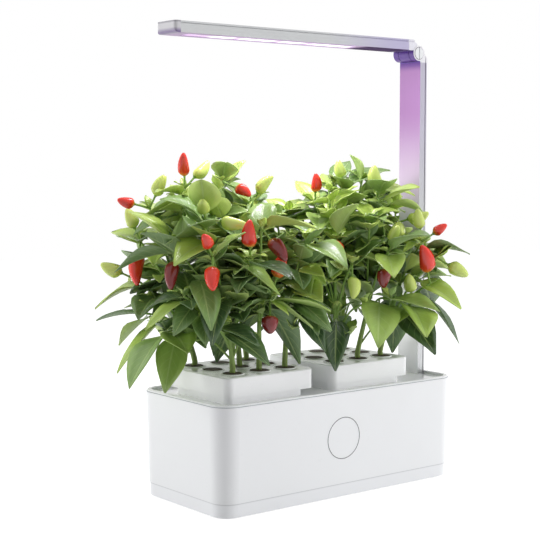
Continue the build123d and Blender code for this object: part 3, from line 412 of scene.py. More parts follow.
@dataclass(frozen=True)
class PlatedSteel(Finish):
    """Zinc-plated steel with a cloudy passivated skin."""

    colour: Colour
    clouds: Pattern = (140.0, 4.0)
    cloud_shades: Span = (0.8, 1.1)
    metal: float = 1.0
    roughness: Span = (0.26, 0.46)
    turning: Triple = (250.0, 250.0, 2600.0)
    turning_detail: float = 2.0
    relief: Relief = (0.12, 0.1)

    def paint(self, sheet: Sheet) -> None:
        """Paints the clouds over turning marks.

        Args:
            sheet: The material's sheet.
        """
        clouds = sheet.noise(*self.clouds)
        turning = sheet.streaks(self.turning, self.turning_detail)
        sheet.surface({
            "Base Color": sheet.vary(clouds, self.colour, self.cloud_shades),
            "Metallic": self.metal,
            "Roughness": clouds.within(self.roughness),
            "Normal": sheet.bump(turning, self.relief),
        })


@dataclass(frozen=True)
class LitDiffuser(Finish):
    """Opal diffuser of the lamp, lit from behind: white over the bright chips, pink towards its tip."""

    pinches: tuple[float, ...]
    pinch: Span = (1.0, 7.0)
    tip_fade: Span = (-126.0, -112.0)
    heel_fade: Span = (46.0, 56.0)
    shell: Colour = (0.66, 0.52, 0.74)
    pale_shell: Colour = (0.76, 0.66, 0.82)
    clouds: Pattern = (60.0, 3.0)
    haze: Pattern = (300.0, 3.0)
    roughness: Span = (0.35, 0.45)
    lit: Colour = (1.0, 1.0, 1.0)
    dim: Colour = (0.30, 0.11, 0.38)
    glow: float = 1.05

    def paint(self, sheet: Sheet) -> None:
        """Paints the opal shell, and its light dimmed at both ends and at the pinches.

        Args:
            sheet: The material's sheet.
        """
        along_arm = sheet.axis("X")
        dim = 1 - sheet.step(along_arm, self.tip_fade[0] * MM, self.tip_fade[1] * MM)
        for place in self.pinches:
            off_pinch = abs(along_arm - place * MM)
            dim = dim.most(1 - sheet.step(off_pinch, self.pinch[0] * MM, self.pinch[1] * MM))
        dim = dim.most(sheet.step(along_arm, self.heel_fade[0] * MM, self.heel_fade[1] * MM))
        sheet.surface({
            "Base Color": sheet.blend(sheet.noise(*self.clouds), self.shell, self.pale_shell),
            "Roughness": sheet.noise(*self.haze).within(self.roughness),
            "Emission Color": sheet.blend(dim, self.lit, self.dim),
            "Emission Strength": self.glow,
        })


@dataclass(frozen=True)
class CircuitBoard(Finish):
    """Solder mask over copper tracks."""

    mask: Colour
    track: Colour
    pitch: float
    bends: Pattern = (70.0, 1.0)
    bend_size: float = 5.0
    track_edge: Span = (0.35, 0.55)
    haze: Pattern = (220.0, 3.0)
    roughness: Span = (0.30, 0.45)
    relief: Relief = (0.25, 0.1)

    def paint(self, sheet: Sheet) -> None:
        """Paints bent tracks, side by side at the pitch.

        Args:
            sheet: The material's sheet.
        """
        turn = 2 * math.pi / (self.pitch * MM)
        bend = sheet.noise(*self.bends) * self.bend_size
        tracks = sheet.step((sheet.axis("Y") * turn + bend).wave(), *self.track_edge)
        sheet.surface({
            "Base Color": sheet.blend(tracks, self.mask, self.track),
            "Roughness": sheet.noise(*self.haze).within(self.roughness),
            "Normal": sheet.bump(tracks, self.relief),
        })


@dataclass(frozen=True)
class Phosphor(Finish):
    """Yellow phosphor of the lamp's chips."""

    colour: Colour
    grain: Pattern = (1500.0, 2.0)
    grain_shades: Span = (0.85, 1.0)
    roughness: Span = (0.45, 0.65)
    relief: Relief = (0.2, 0.1)

    def paint(self, sheet: Sheet) -> None:
        """Paints a fine powder grain.

        Args:
            sheet: The material's sheet.
        """
        grain = sheet.noise(*self.grain)
        sheet.surface({
            "Base Color": sheet.vary(grain, self.colour, self.grain_shades),
            "Roughness": grain.within(self.roughness),
            "Normal": sheet.bump(grain, self.relief),
        })


@dataclass(frozen=True)
class DampSponge(Finish):
    """Dark growing sponge: open pores, damp in patches."""

    colour: Colour
    pore_scale: float = 620.0
    pore_shades: Span = (0.45, 1.5)
    damp: Pattern = (90.0, 3.0)
    damp_share: float = 0.6
    damp_shade: float = 0.5
    roughness: Span = (0.92, 0.57)
    relief: Relief = (0.8, 0.8)

    def paint(self, sheet: Sheet) -> None:
        """Paints damp patches over open pores.

        Args:
            sheet: The material's sheet.
        """
        pores = sheet.pores(self.pore_scale)
        damp = sheet.noise(*self.damp)
        tint = sheet.vary(pores, self.colour, self.pore_shades)
        sheet.surface({
            "Base Color": sheet.blend(damp * self.damp_share, tint, shade(self.colour, self.damp_shade)),
            "Roughness": damp.within(self.roughness),
            "Normal": sheet.bump(pores, self.relief),
        })


@dataclass(frozen=True)
class WickFelt(Finish):
    """Pressed felt with fibres that run down the wick."""

    colour: Colour
    fibres: Triple = (1500.0, 1500.0, 160.0)
    fibre_detail: float = 4.0
    fibre_shades: Span = (0.7, 1.0)
    roughness: Span = (0.85, 0.95)
    relief: Relief = (0.6, 0.4)

    def paint(self, sheet: Sheet) -> None:
        """Paints the fibres.

        Args:
            sheet: The material's sheet.
        """
        fibres = sheet.streaks(self.fibres, self.fibre_detail)
        sheet.surface({
            "Base Color": sheet.vary(fibres, self.colour, self.fibre_shades),
            "Roughness": fibres.within(self.roughness),
            "Normal": sheet.bump(fibres, self.relief),
        })


@dataclass(frozen=True)
class LeafBlade(Finish):
    """Leaf of a chilli plant: a pale midrib, slanting side veins, and a green from each leaf's own hue with
    painted light and shade.
    """

    dark: Colour
    middle: Colour
    bright: Colour
    vein: Colour
    roughness: float
    stalk_end: Span = (0.15, 0.20)
    midrib_edge: Span = (0.02, 0.10)
    vein_pairs: float = 7.0
    vein_slant: float = 2.2
    vein_edge: Span = (0.86, 1.0)
    vein_fade: float = 0.7
    side_vein_share: float = 0.5
    vein_share: float = 0.55
    mottle: Pattern = (120.0, 3.0)
    mottle_tone: float = 0.16
    edge_tone: float = 0.06
    mottle_gloss: float = 0.14
    mottle_height: float = 0.4
    shine: float = 0.75
    relief: Relief = (0.45, 0.6)

    def paint(self, sheet: Sheet) -> None:
        """Paints the veins over a mottled green.

        Args:
            sheet: The material's sheet.
        """
        chart = sheet.node("ShaderNodeUVMap", {"uv_map": "blade"}, {})
        share = sheet.node("ShaderNodeSeparateXYZ", {}, {0: chart}, "X")
        across = abs(sheet.node("ShaderNodeSeparateXYZ", {}, {0: chart}, "Y") - 0.5) * 2
        midrib = (1 - sheet.step(across, *self.midrib_edge)).most(1 - sheet.step(share, *self.stalk_end))
        slant = (share * self.vein_pairs - across * self.vein_slant) * (2 * math.pi)
        side_veins = sheet.step(slant.wave(), *self.vein_edge) * (1 - across * self.vein_fade)
        veins = midrib.most(side_veins * self.side_vein_share)
        mottle = sheet.noise(*self.mottle)
        # Each leaf's own random green, with painted light at the top and outside and painted shade low down
        # and inside
        tone_and_painted_light = sheet.attribute("tone_and_painted_light") + self.mottle_tone * (mottle - 0.5) + self.edge_tone * across
        green = sheet.ramp(tone_and_painted_light, [(0.0, self.dark), (0.5, self.middle), (1.0, self.bright)])
        sheet.surface({
            "Base Color": sheet.blend(veins * self.vein_share, green, self.vein),
            "Roughness": self.roughness + self.mottle_gloss * (mottle - 0.5),
            "Specular IOR Level": self.shine,
            "Normal": sheet.bump(mottle * self.mottle_height - veins, self.relief),
        })


@dataclass(frozen=True)
class GreenWood(Finish):
    """Green stem with pale ribs and a browner foot."""

    colour: Colour
    foot: Colour
    foot_height: float
    foot_fade: float = 60.0
    ribs: Triple = (700.0, 700.0, 60.0)
    rib_detail: float = 3.0
    rib_share: float = 0.6
    rib_shade: float = 1.5
    roughness: Span = (0.5, 0.7)
    relief: Relief = (0.4, 0.4)

    def paint(self, sheet: Sheet) -> None:
        """Paints the ribs over a green that turns brown at the foot.

        Args:
            sheet: The material's sheet.
        """
        ribs = sheet.streaks(self.ribs, self.rib_detail)
        foot_end = self.foot_height + self.foot_fade
        height = sheet.step(sheet.axis("Z"), self.foot_height * MM, foot_end * MM)
        tint = sheet.blend(height, self.foot, self.colour)
        sheet.surface({
            "Base Color": sheet.blend(ribs * self.rib_share, tint, shade(self.colour, self.rib_shade)),
            "Roughness": ribs.within(self.roughness),
            "Normal": sheet.bump(ribs, self.relief),
        })


@dataclass(frozen=True)
class ChilliSkin(Finish):
    """Waxy skin of a fruit, by its ripeness, with a paler shoulder where it ripens last."""

    green: Colour
    dark: Colour
    ripe: Colour
    shoulder: Colour
    mottle: Pattern = (90.0, 3.0)
    shoulder_end: Span = (0.04, 0.26)
    shoulder_wander: float = 0.14
    shoulder_share: float = 0.6
    roughness: Span = (0.20, 0.32)
    coat: float = 0.35
    coat_roughness: float = 0.08
    relief: Relief = (0.12, 0.6)

    def paint(self, sheet: Sheet) -> None:
        """Paints the late shoulder over the colour of the fruit's ripeness.

        Args:
            sheet: The material's sheet.
        """
        mottle = sheet.noise(*self.mottle)
        ripeness = sheet.attribute("ripeness")
        tint = sheet.ramp(ripeness, [(0.0, self.green), (0.5, self.dark), (1.0, self.ripe)])
        below_crown = sheet.attribute("along") + self.shoulder_wander * (mottle - 0.5)
        late = (1 - sheet.step(below_crown, *self.shoulder_end)) * ripeness
        sheet.surface({
            "Base Color": sheet.blend(late * self.shoulder_share, tint, self.shoulder),
            "Roughness": mottle.within(self.roughness),
            "Coat Weight": self.coat,
            "Coat Roughness": self.coat_roughness,
            "Normal": sheet.bump(mottle, self.relief),
        })


# Where painted light and shade lie: the hinge's front, the post's face towards the plants and the arm's
# underside
HINGE_FRONT = ("Y", -26.9, -26.6)
POST_FACE = ("X", 135.75, 135.65)
ARM_UNDERSIDE = ("Z", 438.4, 438.1)
# Painted shade, dark violet from the lamp's light
PAINTED_VIOLET_SHADE = (0.13, 0.055, 0.34)

TANK_WHITE = MouldedPlastic("tank_moulding", (0.86, 0.87, 0.89), 0.30, 0.10)
# Painted shadow: a grey band near the top of the plinth, under the tank's edge, stands for the shadow gap at
# the seam
PAINTED_SEAM_SHADOW = PaintedLight((0.52, 0.53, 0.55), (("Z", 12.4, 13.2),), 0.6)
PLINTH_WHITE = MouldedPlastic("plinth_moulding", (0.85, 0.86, 0.885), 0.32, 0.10, painted_light=(PAINTED_SEAM_SHADOW,))
DECK_WHITE = MouldedPlastic("polished_deck", (0.84, 0.85, 0.87), 0.12, 0.03, 0.5)
TRAY_WHITE = MouldedPlastic("tray_moulding", (0.91, 0.915, 0.93), 0.26, 0.08)
# The tip cap carries painted shade: darker along its top edge, and dark violet towards its underside from
# the lamp's light
TIP_GREY = MouldedPlastic("tip_moulding", (0.64, 0.63, 0.66), 0.30, 0.10, painted_light=(
    PaintedLight((0.30, 0.29, 0.33), (("Z", 446.6, 448.4),), 0.8),
    PaintedLight((0.17, 0.11, 0.28), (("Z", 443.6, 439.0),), 0.92),
))
# Both knuckles carry painted dark violet shade low on their fronts
POST_HINGE = MouldedPlastic("post_hinge_moulding", (0.80, 0.79, 0.83), 0.28, 0.10, painted_light=(
    PaintedLight(PAINTED_VIOLET_SHADE, (HINGE_FRONT, ("X", 139.0, 136.5), ("Z", 441.0, 437.0))),
))
ARM_HINGE = MouldedPlastic("arm_hinge_moulding", (0.74, 0.73, 0.80), 0.28, 0.10, painted_light=(
    PaintedLight(PAINTED_VIOLET_SHADE, (HINGE_FRONT, ("Z", 439.5, 437.5))),
))
HINGE_WHITE = MouldedPlastic("hinge_moulding", (0.80, 0.81, 0.83), 0.28, 0.10)
SOCKET_WHITE = MouldedPlastic("socket_moulding", (0.80, 0.81, 0.82), 0.40, 0.16)
BLACK_NYLON = MouldedPlastic("black_nylon", (0.035, 0.035, 0.038), 0.5, 0.25)
BADGE_GREY = MouldedPlastic("badge_grey", (0.13, 0.13, 0.14), 0.4, 0.10)
# Painted shadow: a dark plum ring round the head of the hinge screw
PAINTED_RIM_SHADOW = MouldedPlastic("hinge_rim_painted_shadow", (0.10, 0.06, 0.13), 0.4, 0.10)
SEAL_GREY = SoftRubber("seal_rubber", (0.42, 0.44, 0.46))
FOOT_BLACK = SoftRubber("foot_rubber_finish", (0.035, 0.035, 0.037))
LEAD_BLACK = SoftRubber("lead_sleeve", (0.03, 0.03, 0.03))
SCREW_ZINC = PlatedSteel("zinc_plating", (0.62, 0.62, 0.63))
# The post carries painted light: lighter low down on its face towards the plants, lavender to violet higher
# up from the lamp's light, and painted dark violet shade just under the knuckle
POST_METAL = SatinAluminium("post_anodising_painted_light", (0.55, 0.56, 0.57), Brushing.ALONG_Z, painted_light=(
    PaintedLight((0.92, 0.93, 0.93), (POST_FACE, ("Z", 260.0, 220.0))),
    PaintedLight((0.53, 0.50, 0.62), (("Z", 260.0, 380.0),), 0.8),
    PaintedLight((0.76, 0.64, 0.79), (POST_FACE, ("Z", 262.0, 300.0))),
    PaintedLight((0.45, 0.25, 0.49), (POST_FACE, ("Z", 290.0, 380.0))),
    PaintedLight((0.14, 0.065, 0.32), (POST_FACE, ("Z", 417.0, 426.0)), 0.8),
))
# The arm carries painted violet light from the lamp towards its hinge end and on its underside, lighter
# along the lit stretch of the lens, and painted near-black shade on the underside beyond the lens
ARM_METAL = SatinAluminium("arm_anodising_painted_light", (0.61, 0.62, 0.63), Brushing.ALONG_X, painted_light=(
    PaintedLight((0.50, 0.46, 0.66), (("X", 0.0, 110.0),), 0.9),
    PaintedLight((0.30, 0.14, 0.38), (ARM_UNDERSIDE,), 0.8),
    PaintedLight((0.52, 0.36, 0.62), (ARM_UNDERSIDE, ("X", -122.0, -106.0), ("X", 60.0, 48.0)), 0.7),
    PaintedLight((0.05, 0.015, 0.10), (ARM_UNDERSIDE, ("X", 56.0, 64.0)), matt=True),
))
LENS_LIT = LitDiffuser("lit_diffuser", (-89.0, -41.0, -4.0))
DRIVER_MASK = CircuitBoard("driver_mask", (0.02, 0.14, 0.05), (0.05, 0.24, 0.08), 2.4)
LED_MASK = CircuitBoard("lamp_board_mask", (0.82, 0.82, 0.80), (0.72, 0.72, 0.68), 3.0)
LED_PHOSPHOR = Phosphor("chip_phosphor", (0.90, 0.72, 0.22))
PLUG_SPONGE = DampSponge("growing_sponge", (0.09, 0.065, 0.045))
WICK_FELT = WickFelt("pressed_felt", (0.72, 0.69, 0.62))
LEAF_TOP = LeafBlade(
    "leaf_upper_side", dark=(0.036, 0.085, 0.028), middle=(0.195, 0.330, 0.086), bright=(0.44, 0.60, 0.110),
    vein=(0.48, 0.62, 0.24), roughness=0.32,
)
LEAF_UNDER = LeafBlade(
    "leaf_under_side", dark=(0.100, 0.180, 0.068), middle=(0.29, 0.43, 0.140), bright=(0.50, 0.64, 0.160),
    vein=(0.52, 0.64, 0.28), roughness=0.50,
)
STEM_GREEN = GreenWood("green_wood", (0.21, 0.35, 0.075), (0.15, 0.17, 0.06), 128.0)
FRUIT_SKIN = ChilliSkin(
    "chilli_skin", green=(0.58, 0.70, 0.16), dark=(0.20, 0.008, 0.010), ripe=(0.78, 0.030, 0.012),
    shoulder=(0.85, 0.36, 0.05),
)


def add_piece(
    name: str, form: bmesh.types.BMesh, finishes: Sequence[Finish], body: str
) -> bpy.types.Object:
    """Makes a finished mesh a piece of the object.

    Args:
        name: Name of the piece.
        form: The finished mesh, which is freed here.
        finishes: Its finishes, in the order of its material numbers.
        body: The body that it rides on.

    Returns:
        The new piece.
    """
    mesh = bpy.data.meshes.new(name)
    form.to_mesh(mesh)
    form.free()
    for finish in finishes:
        mesh.materials.append(finish.material())
    piece = bpy.data.objects.new(name, mesh)
    bpy.context.scene.collection.objects.link(piece)
    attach(piece, body)
    LOG.info("piece %s on %s: %d faces", name, body, len(mesh.polygons))
    return piece


def smooth(form: bmesh.types.BMesh) -> None:
    """Shades every face of a mesh smoothly."""
    for face in form.faces:
        face.smooth = True


def edges_at(verts: Sequence[bmesh.types.BMVert]) -> list[bmesh.types.BMEdge]:
    """The edges at some vertices, each of them once, in the order of the vertices."""
    return list(dict.fromkeys(edge for vert in verts for edge in vert.link_edges))


def faces_at(verts: Sequence[bmesh.types.BMVert]) -> list[bmesh.types.BMFace]:
    """The faces at some vertices, each of them once, in the order of the vertices."""
    return list(dict.fromkeys(face for vert in verts for face in vert.link_faces))


@dataclass
class SubAssembly:
    """Pieces that are dressed, and added to, together."""

    finishes: dict[str, Finish] = field(default_factory=dict)

    def dress(self) -> None:
        """Gives each of the solids its finish."""
        for node, finish in self.finishes.items():
            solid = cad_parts[node]
            solid.data.materials.clear()
            solid.data.materials.append(finish.material())
            LOG.info("dressed %s with %s", node, finish.name)

    def build(self) -> None:
        """Adds the pieces that the solids don't hold."""


@dataclass
class Ring:
    """A flat raised ring on a wall that faces the front, leaning by the wall's draft."""

    centre: Triple
    radius: float
    width: float
    draft: float = 0.0
    relief: float = 0.12
    sides: int = 72

    def form(self) -> bmesh.types.BMesh:
        """Bridges two circles, raises the band and sets it on its wall.

        Returns:
            The ring's mesh.
        """
        form = bmesh.new()
        outer = bmesh.ops.create_circle(form, segments=self.sides, radius=self.radius * MM)
        inner = bmesh.ops.create_circle(form, segments=self.sides, radius=(self.radius - self.width) * MM)
        band = bmesh.ops.bridge_loops(form, edges=edges_at(outer["verts"] + inner["verts"]))
        raised = bmesh.ops.extrude_face_region(form, geom=band["faces"])
        verts = [item for item in raised["geom"] if isinstance(item, bmesh.types.BMVert)]
        bmesh.ops.translate(form, vec=(0, 0, self.relief * MM), verts=verts)
        bmesh.ops.recalc_face_normals(form, faces=form.faces)
        lean = Matrix.Rotation(math.radians(90 + self.draft), 4, "X")
        place = Matrix.Translation(Vector(self.centre) * MM)
        bmesh.ops.transform(form, matrix=place @ lean, verts=form.verts)
        return form


@dataclass
class WaterBase(SubAssembly):
    """Plinth, tank and deck, with a plain ring on the front."""

    rim_height: float = 102.5
    half_depth: float = 69.0
    draft: float = 1.5
    ring_x: float = -4.0
    ring_height: float = 58.5
    ring_radius: float = 20.5
    ring_width: float = 0.7
    finishes: dict[str, Finish] = field(default_factory=lambda: {
        "base_plinth": PLINTH_WHITE, "rubber_feet": FOOT_BLACK, "plinth_screws": SCREW_ZINC,
        "water_tank": TANK_WHITE, "rim_seal": SEAL_GREY, "deck_cover": DECK_WHITE,
        "post_socket": SOCKET_WHITE, "driver_board": DRIVER_MASK, "dc_inlet": BLACK_NYLON,
        "inlet_leads": LEAD_BLACK,
    })

    def build(self) -> None:
        """Adds the plain ring, flat on the drafted front wall."""
        wall_y = self.half_depth - (self.rim_height - self.ring_height) * math.tan(math.radians(self.draft))
        ring = Ring((self.ring_x, -wall_y, self.ring_height), self.ring_radius, self.ring_width, self.draft)
        add_piece("badge_ring", ring.form(), [BADGE_GREY], "base")


@dataclass
class LampPost(SubAssembly):
    """Post of the lamp with the fixed half of its hinge."""

    finishes: dict[str, Finish] = field(default_factory=lambda: {
        "post_channel": POST_METAL, "post_rear_cover": POST_METAL, "post_knuckle": POST_HINGE,
        "post_lead": LEAD_BLACK, "hinge_pin": SCREW_ZINC, "hinge_screw": HINGE_WHITE,
        "hinge_nut": HINGE_WHITE, "friction_washers": BLACK_NYLON,
    })
    hinge_place: Triple = (133.7, -27.0, 435.5)
    head_radius: float = 6.45
    ring_width: float = 0.4

    def build(self) -> None:
        """Adds a dark plum ring round the head of the hinge screw, a painted shadow of the gap there."""
        ring = Ring(self.hinge_place, self.head_radius, self.ring_width)
        add_piece("hinge_rim", ring.form(), [PAINTED_RIM_SHADOW], "base")


@dataclass
class LampArm(SubAssembly):
    """Arm of the lamp with its light and the moving half of the hinge."""

    finishes: dict[str, Finish] = field(default_factory=lambda: {
        "arm_channel": ARM_METAL, "arm_top_cover": ARM_METAL, "arm_tip_cap": TIP_GREY,
        "arm_knuckle": ARM_HINGE, "arm_lead": LEAD_BLACK, "led_lens": LENS_LIT,
        "led_board": LED_MASK, "led_chips": LED_PHOSPHOR,
    })


class Side(Enum):
    """The two trays, by the side of the dividing plane that they stand on."""

    LEFT = -1
    RIGHT = 1

    @property
    def word(self) -> str:
        """The side's word, as the solids' names have it."""
        return self.name.lower()


TRAY_X = {Side.LEFT: -78.75, Side.RIGHT: 47.25}
TRAY_TOP = 126.5
HOLE_PITCH = (31.5, 31.0)


@dataclass
class PlantingTray(SubAssembly):
    """One lift-out tray with its nine planting holes."""

    side: Side = Side.LEFT
    collar_radius: float = 9.6
    collar_width: float = 1.8
    collar_height: float = 0.9
    collar_sides: int = 24
    collar_section: int = 8
    rows: int = 3

    def __post_init__(self) -> None:
        """Names the solids of this tray."""
        word = self.side.word
        self.finishes = {
            word + "_tray_box": TRAY_WHITE, word + "_tray_lid": TRAY_WHITE,
            word + "_grow_plugs": PLUG_SPONGE, word + "_wick": WICK_FELT,
        }

    def build(self) -> None:
        """Adds the raised collars round the planting holes."""
        form = bmesh.new()
        middle = (self.rows - 1) / 2
        for column in range(self.rows):
            for row in range(self.rows):
                x = TRAY_X[self.side] + (column - middle) * HOLE_PITCH[0]
                y = (row - middle) * HOLE_PITCH[1]
                self._add_collar(form, Vector((x, y, TRAY_TOP)))
        smooth(form)
        word = self.side.word
        add_piece(word + "_hole_collars", form, [TRAY_WHITE], word + "_tray")

    def _add_collar(self, form: bmesh.types.BMesh, centre: Vector) -> None:
        """Spins one collar's small round section about the hole's axis.

        Args:
            form: The mesh of the collars.
            centre: Middle of the hole, on top of the lid.
        """
        section = bmesh.ops.create_circle(form, segments=self.collar_section, radius=1.0)["verts"]
        size = Matrix.Diagonal((self.collar_width / 2 * MM, self.collar_height * MM, 1.0, 1.0))
        out = Vector(((self.collar_radius + self.collar_width / 2) * MM, 0, 0))
        place = Matrix.Translation(centre * MM + out)
        upright = Matrix.Rotation(math.radians(90), 4, "X")
        bmesh.ops.transform(form, matrix=place @ upright @ size, verts=section)
        bmesh.ops.spin(
            form, geom=edges_at(section), cent=centre * MM, axis=(0, 0, 1), angle=2 * math.pi,
            steps=self.collar_sides, use_merge=True,
        )
        bmesh.ops.recalc_face_normals(form, faces=form.faces)


class Ripeness(Enum):
    """How ripe a fruit is, as the skin's ramp reads it."""

    GREEN = 0.0
    DARK = 0.5
    RIPE = 1.0


def add(a: Triple, b: Triple) -> Triple:
    """Sum of two triples."""
    return (a[0] + b[0], a[1] + b[1], a[2] + b[2])


def scale(a: Triple, k: float) -> Triple:
    """A triple times a number."""
    return (a[0] * k, a[1] * k, a[2] * k)


def along(a: Triple, b: Triple, t: float) -> Triple:
    """Point a share t of the way from a to b."""
    return add(a, scale(add(b, scale(a, -1)), t))


def cross(a: Triple, b: Triple) -> Triple:
    """Cross product of two triples."""
    return (a[1] * b[2] - a[2] * b[1], a[2] * b[0] - a[0] * b[2], a[0] * b[1] - a[1] * b[0])


def unit(a: Triple) -> Triple:
    """A triple at length one."""
    return scale(a, 1 / math.hypot(*a))


def heading(azimuth: float, elevation: float) -> Triple:
    """Direction at an azimuth and an elevation.

    Args:
        azimuth: Degrees from +X towards +Y.
        elevation: Degrees above level.

    Returns:
        The direction, at length one.
    """
    turn = math.radians(azimuth)
    rise = math.radians(elevation)
    return (math.cos(turn) * math.cos(rise), math.sin(turn) * math.cos(rise), math.sin(rise))


# A direction that no stem, branch or fruit points along
ASIDE = (0.36, 0.93, 0.1)


@dataclass
class Tube:
    """Stem, branch or stalk: the points that it passes and its radius at each."""

    path: list[Triple]
    radii: list[float]


@dataclass
class Leaf:
    """One leaf: where it starts, which way it points and faces, its length, sag and breadth."""

    base: Triple
    axis: Triple
    normal: Triple
    length: float
    droop: float
    breadth: float

    def point(self, share: float, half: float, lift: float) -> Triple:
        """A point of the leaf.

        Args:
            share: Share of its length.
            half: Distance from its midrib, signed.
            lift: Distance off the blade.

        Returns:
            The point, in millimetres.
        """
        across = unit(cross(self.axis, self.normal))
        spine = add(self.base, scale(self.axis, self.length * share))
        spine = add(spine, (0, 0, -self.droop * self.length * share * share))
        return add(add(spine, scale(across, half)), scale(self.normal, lift))


@dataclass
class Pod:
    """One fruit: its crown, the way that it points, its size and ripeness."""

    crown: Triple
    way: Triple
    length: float
    radius: float
    ripeness: Ripeness


# A fruit's branch, azimuth, elevation, stalk, length and radius
FruitSpot = tuple[int, float, float, float, float, float]


@dataclass
class GrowthPlan:
    """Where one bush grows, measured from its tray's centre at plug top level.

    A stem is the column and row of its hole and its fork above it. Tips and shoots are the ends of branches.
    """

    seed: int
    stems: list[tuple[int, int, Triple]]
    tips: list[Triple]
    fruits: list[FruitSpot]
    ripe: tuple[int, ...]
    dark: tuple[int, ...]
    bare_stem: float
    shoots: list[Triple]
    late_fruits: list[tuple[FruitSpot, Ripeness]]

    def ripeness(self, number: int) -> Ripeness:
        """How ripe a fruit of the plan is.

        Args:
            number: The fruit's number in the plan.

        Returns:
            Its ripeness.
        """
        if number in self.ripe:
            return Ripeness.RIPE
        return Ripeness.DARK if number in self.dark else Ripeness.GREEN


LEFT_PLAN = GrowthPlan(
    seed=11,
    stems=[
        (-1, -1, (-8, -6, 44)), (-1, 1, (-10, 8, 52)), (0, 0, (-4, 4, 66)),
        (1, -1, (-2, -6, 58)), (1, 1, (-4, 8, 60)), (0, -1, (-6, -8, 48)),
    ],
    tips=[
        (-13, 10, 178), (-46, 24, 171), (-67, 53, 152), (-69, 67, 120), (-67, 79, 82),
        (-71, 56, 51), (-73, 19, 37), (-55, -21, 144), (-82, -12, 117), (-64, -45, 111),
        (-81, -25, 74), (-59, -36, 46), (13, 3, 156), (-11, -49, 135), (-31, -58, 108),
        (-5, -54, 70), (5, 72, 127), (-20, 100, 116), (31, 39, 108), (-36, -48, 69),
    ],
    fruits=[
        (3, 232, -50, 16, 36, 7.5), (1, 232, 62, 14, 24, 5.5), (2, 165, 15, 16, 17, 5.5),
        (0, 300, -25, 16, 17, 5.5), (9, 235, -45, 14, 26, 7.0), (11, 232, 76, 22, 30, 7.5),
        (14, 320, -62, 14, 40, 8.0), (8, 250, -58, 14, 28, 6.5), (13, 290, -48, 14, 26, 7.0),
        (15, 300, 70, 20, 24, 7.0), (15, 232, -62, 18, 17, 8.0), (4, 150, 25, 15, 22, 7.0),
        (4, 205, -8, 15, 22, 7.0), (3, 140, 68, 14, 20, 6.5), (2, 300, 62, 14, 22, 6.5),
        (1, 330, 45, 15, 22, 6.0), (7, 320, -8, 15, 24, 6.5), (12, 240, -62, 15, 22, 6.5),
        (12, 320, 48, 14, 22, 6.0),
    ],
    ripe=(0, 1, 2, 3, 4, 5, 6, 9),
    dark=(7, 8, 10),
    bare_stem=52.0,
    shoots=[
        (45, -40, 60), (50, -14, 100), (48, -45, 95), (38, -58, 122), (52, 12, 130), (30, -20, 142),
        (48, 22, 75), (20, -56, 40), (-30, -52, 30), (-60, -4, 30), (0, 50, 44), (40, 42, 46),
        (-30, 10, 150), (0, -20, 120), (-40, 0, 90), (10, 20, 90), (-34, -14, 168), (4, -18, 162),
        (-58, 8, 158), (24, 12, 160),
    ],
    late_fruits=[
        ((13, 225, -72, 16, 34, 7.8), Ripeness.RIPE), ((12, 200, 70, 12, 20, 6.5), Ripeness.GREEN),
        ((16, 220, 60, 12, 20, 6.5), Ripeness.GREEN), ((9, 215, 40, 14, 18, 5.5), Ripeness.RIPE),
        ((14, 230, 60, 12, 26, 7.0), Ripeness.RIPE), ((7, 230, 60, 12, 18, 6.0), Ripeness.GREEN),
    ],
)
RIGHT_PLAN = GrowthPlan(
    seed=23,
    stems=[
        (-1, -1, (-4, -6, 52)), (-1, 1, (2, 6, 60)), (0, 0, (4, 0, 66)),
        (1, -1, (8, -8, 50)), (1, 1, (8, 2, 62)), (0, -1, (2, -10, 46)),
    ],
    tips=[
        (5, -4, 170), (-28, 3, 155), (25, -32, 162), (45, -36, 134), (-17, 27, 124),
        (-39, -40, 121), (-35, -4, 93), (-32, -57, 98), (2, -72, 109), (49, -71, 117),
        (57, -84, 101), (49, -83, 76), (39, -69, 56), (4, -73, 63), (-32, -36, 47),
        (-22, -65, 59), (46, 40, 128), (66, 24, 118), (12, 42, 61), (50, -48, 91),
    ],
    fruits=[
        (5, 232, -20, 14, 22, 7.0), (11, 200, 62, 14, 30, 8.0), (1, 232, 75, 12, 19, 5.5),
        (9, 320, 35, 14, 16, 5.0), (8, 205, -70, 18, 19, 7.0), (4, 232, 0, 15, 22, 6.5),
        (6, 232, 76, 18, 22, 6.5), (3, 185, -10, 15, 24, 7.0), (3, 232, 18, 14, 22, 6.5),
        (9, 240, 76, 14, 20, 6.0), (10, 320, -30, 14, 22, 7.0), (12, 320, 62, 14, 20, 6.5),
        (7, 232, -68, 14, 22, 6.5),
    ],
    ripe=(0, 1, 2, 3),
    dark=(4,),
    bare_stem=74.0,
    shoots=[
        (-50, 10, 120), (-52, 40, 100), (-45, 50, 62), (-50, -10, 72), (-44, 26, 145), (-20, 56, 100),
        (-50, -26, 110), (20, 60, 100), (-10, -58, 140), (-30, -52, 28), (20, -56, 34), (52, -20, 42),
        (50, 30, 54), (0, 50, 44), (0, 10, 120), (30, 0, 100), (-16, -14, 174), (22, -12, 178),
        (40, -10, 168), (-30, -20, 168), (8, 16, 172), (52, -30, 152),
    ],
    late_fruits=[
        ((2, 200, 75, 12, 20, 7.0), Ripeness.GREEN), ((3, 250, 70, 12, 20, 6.5), Ripeness.GREEN),
        ((16, 225, 60, 14, 20, 6.5), Ripeness.GREEN), ((0, 190, 70, 12, 18, 6.0), Ripeness.GREEN),
        ((19, 230, -60, 14, 24, 7.0), Ripeness.RIPE), ((8, 225, 60, 12, 18, 6.0), Ripeness.GREEN),
    ],
)


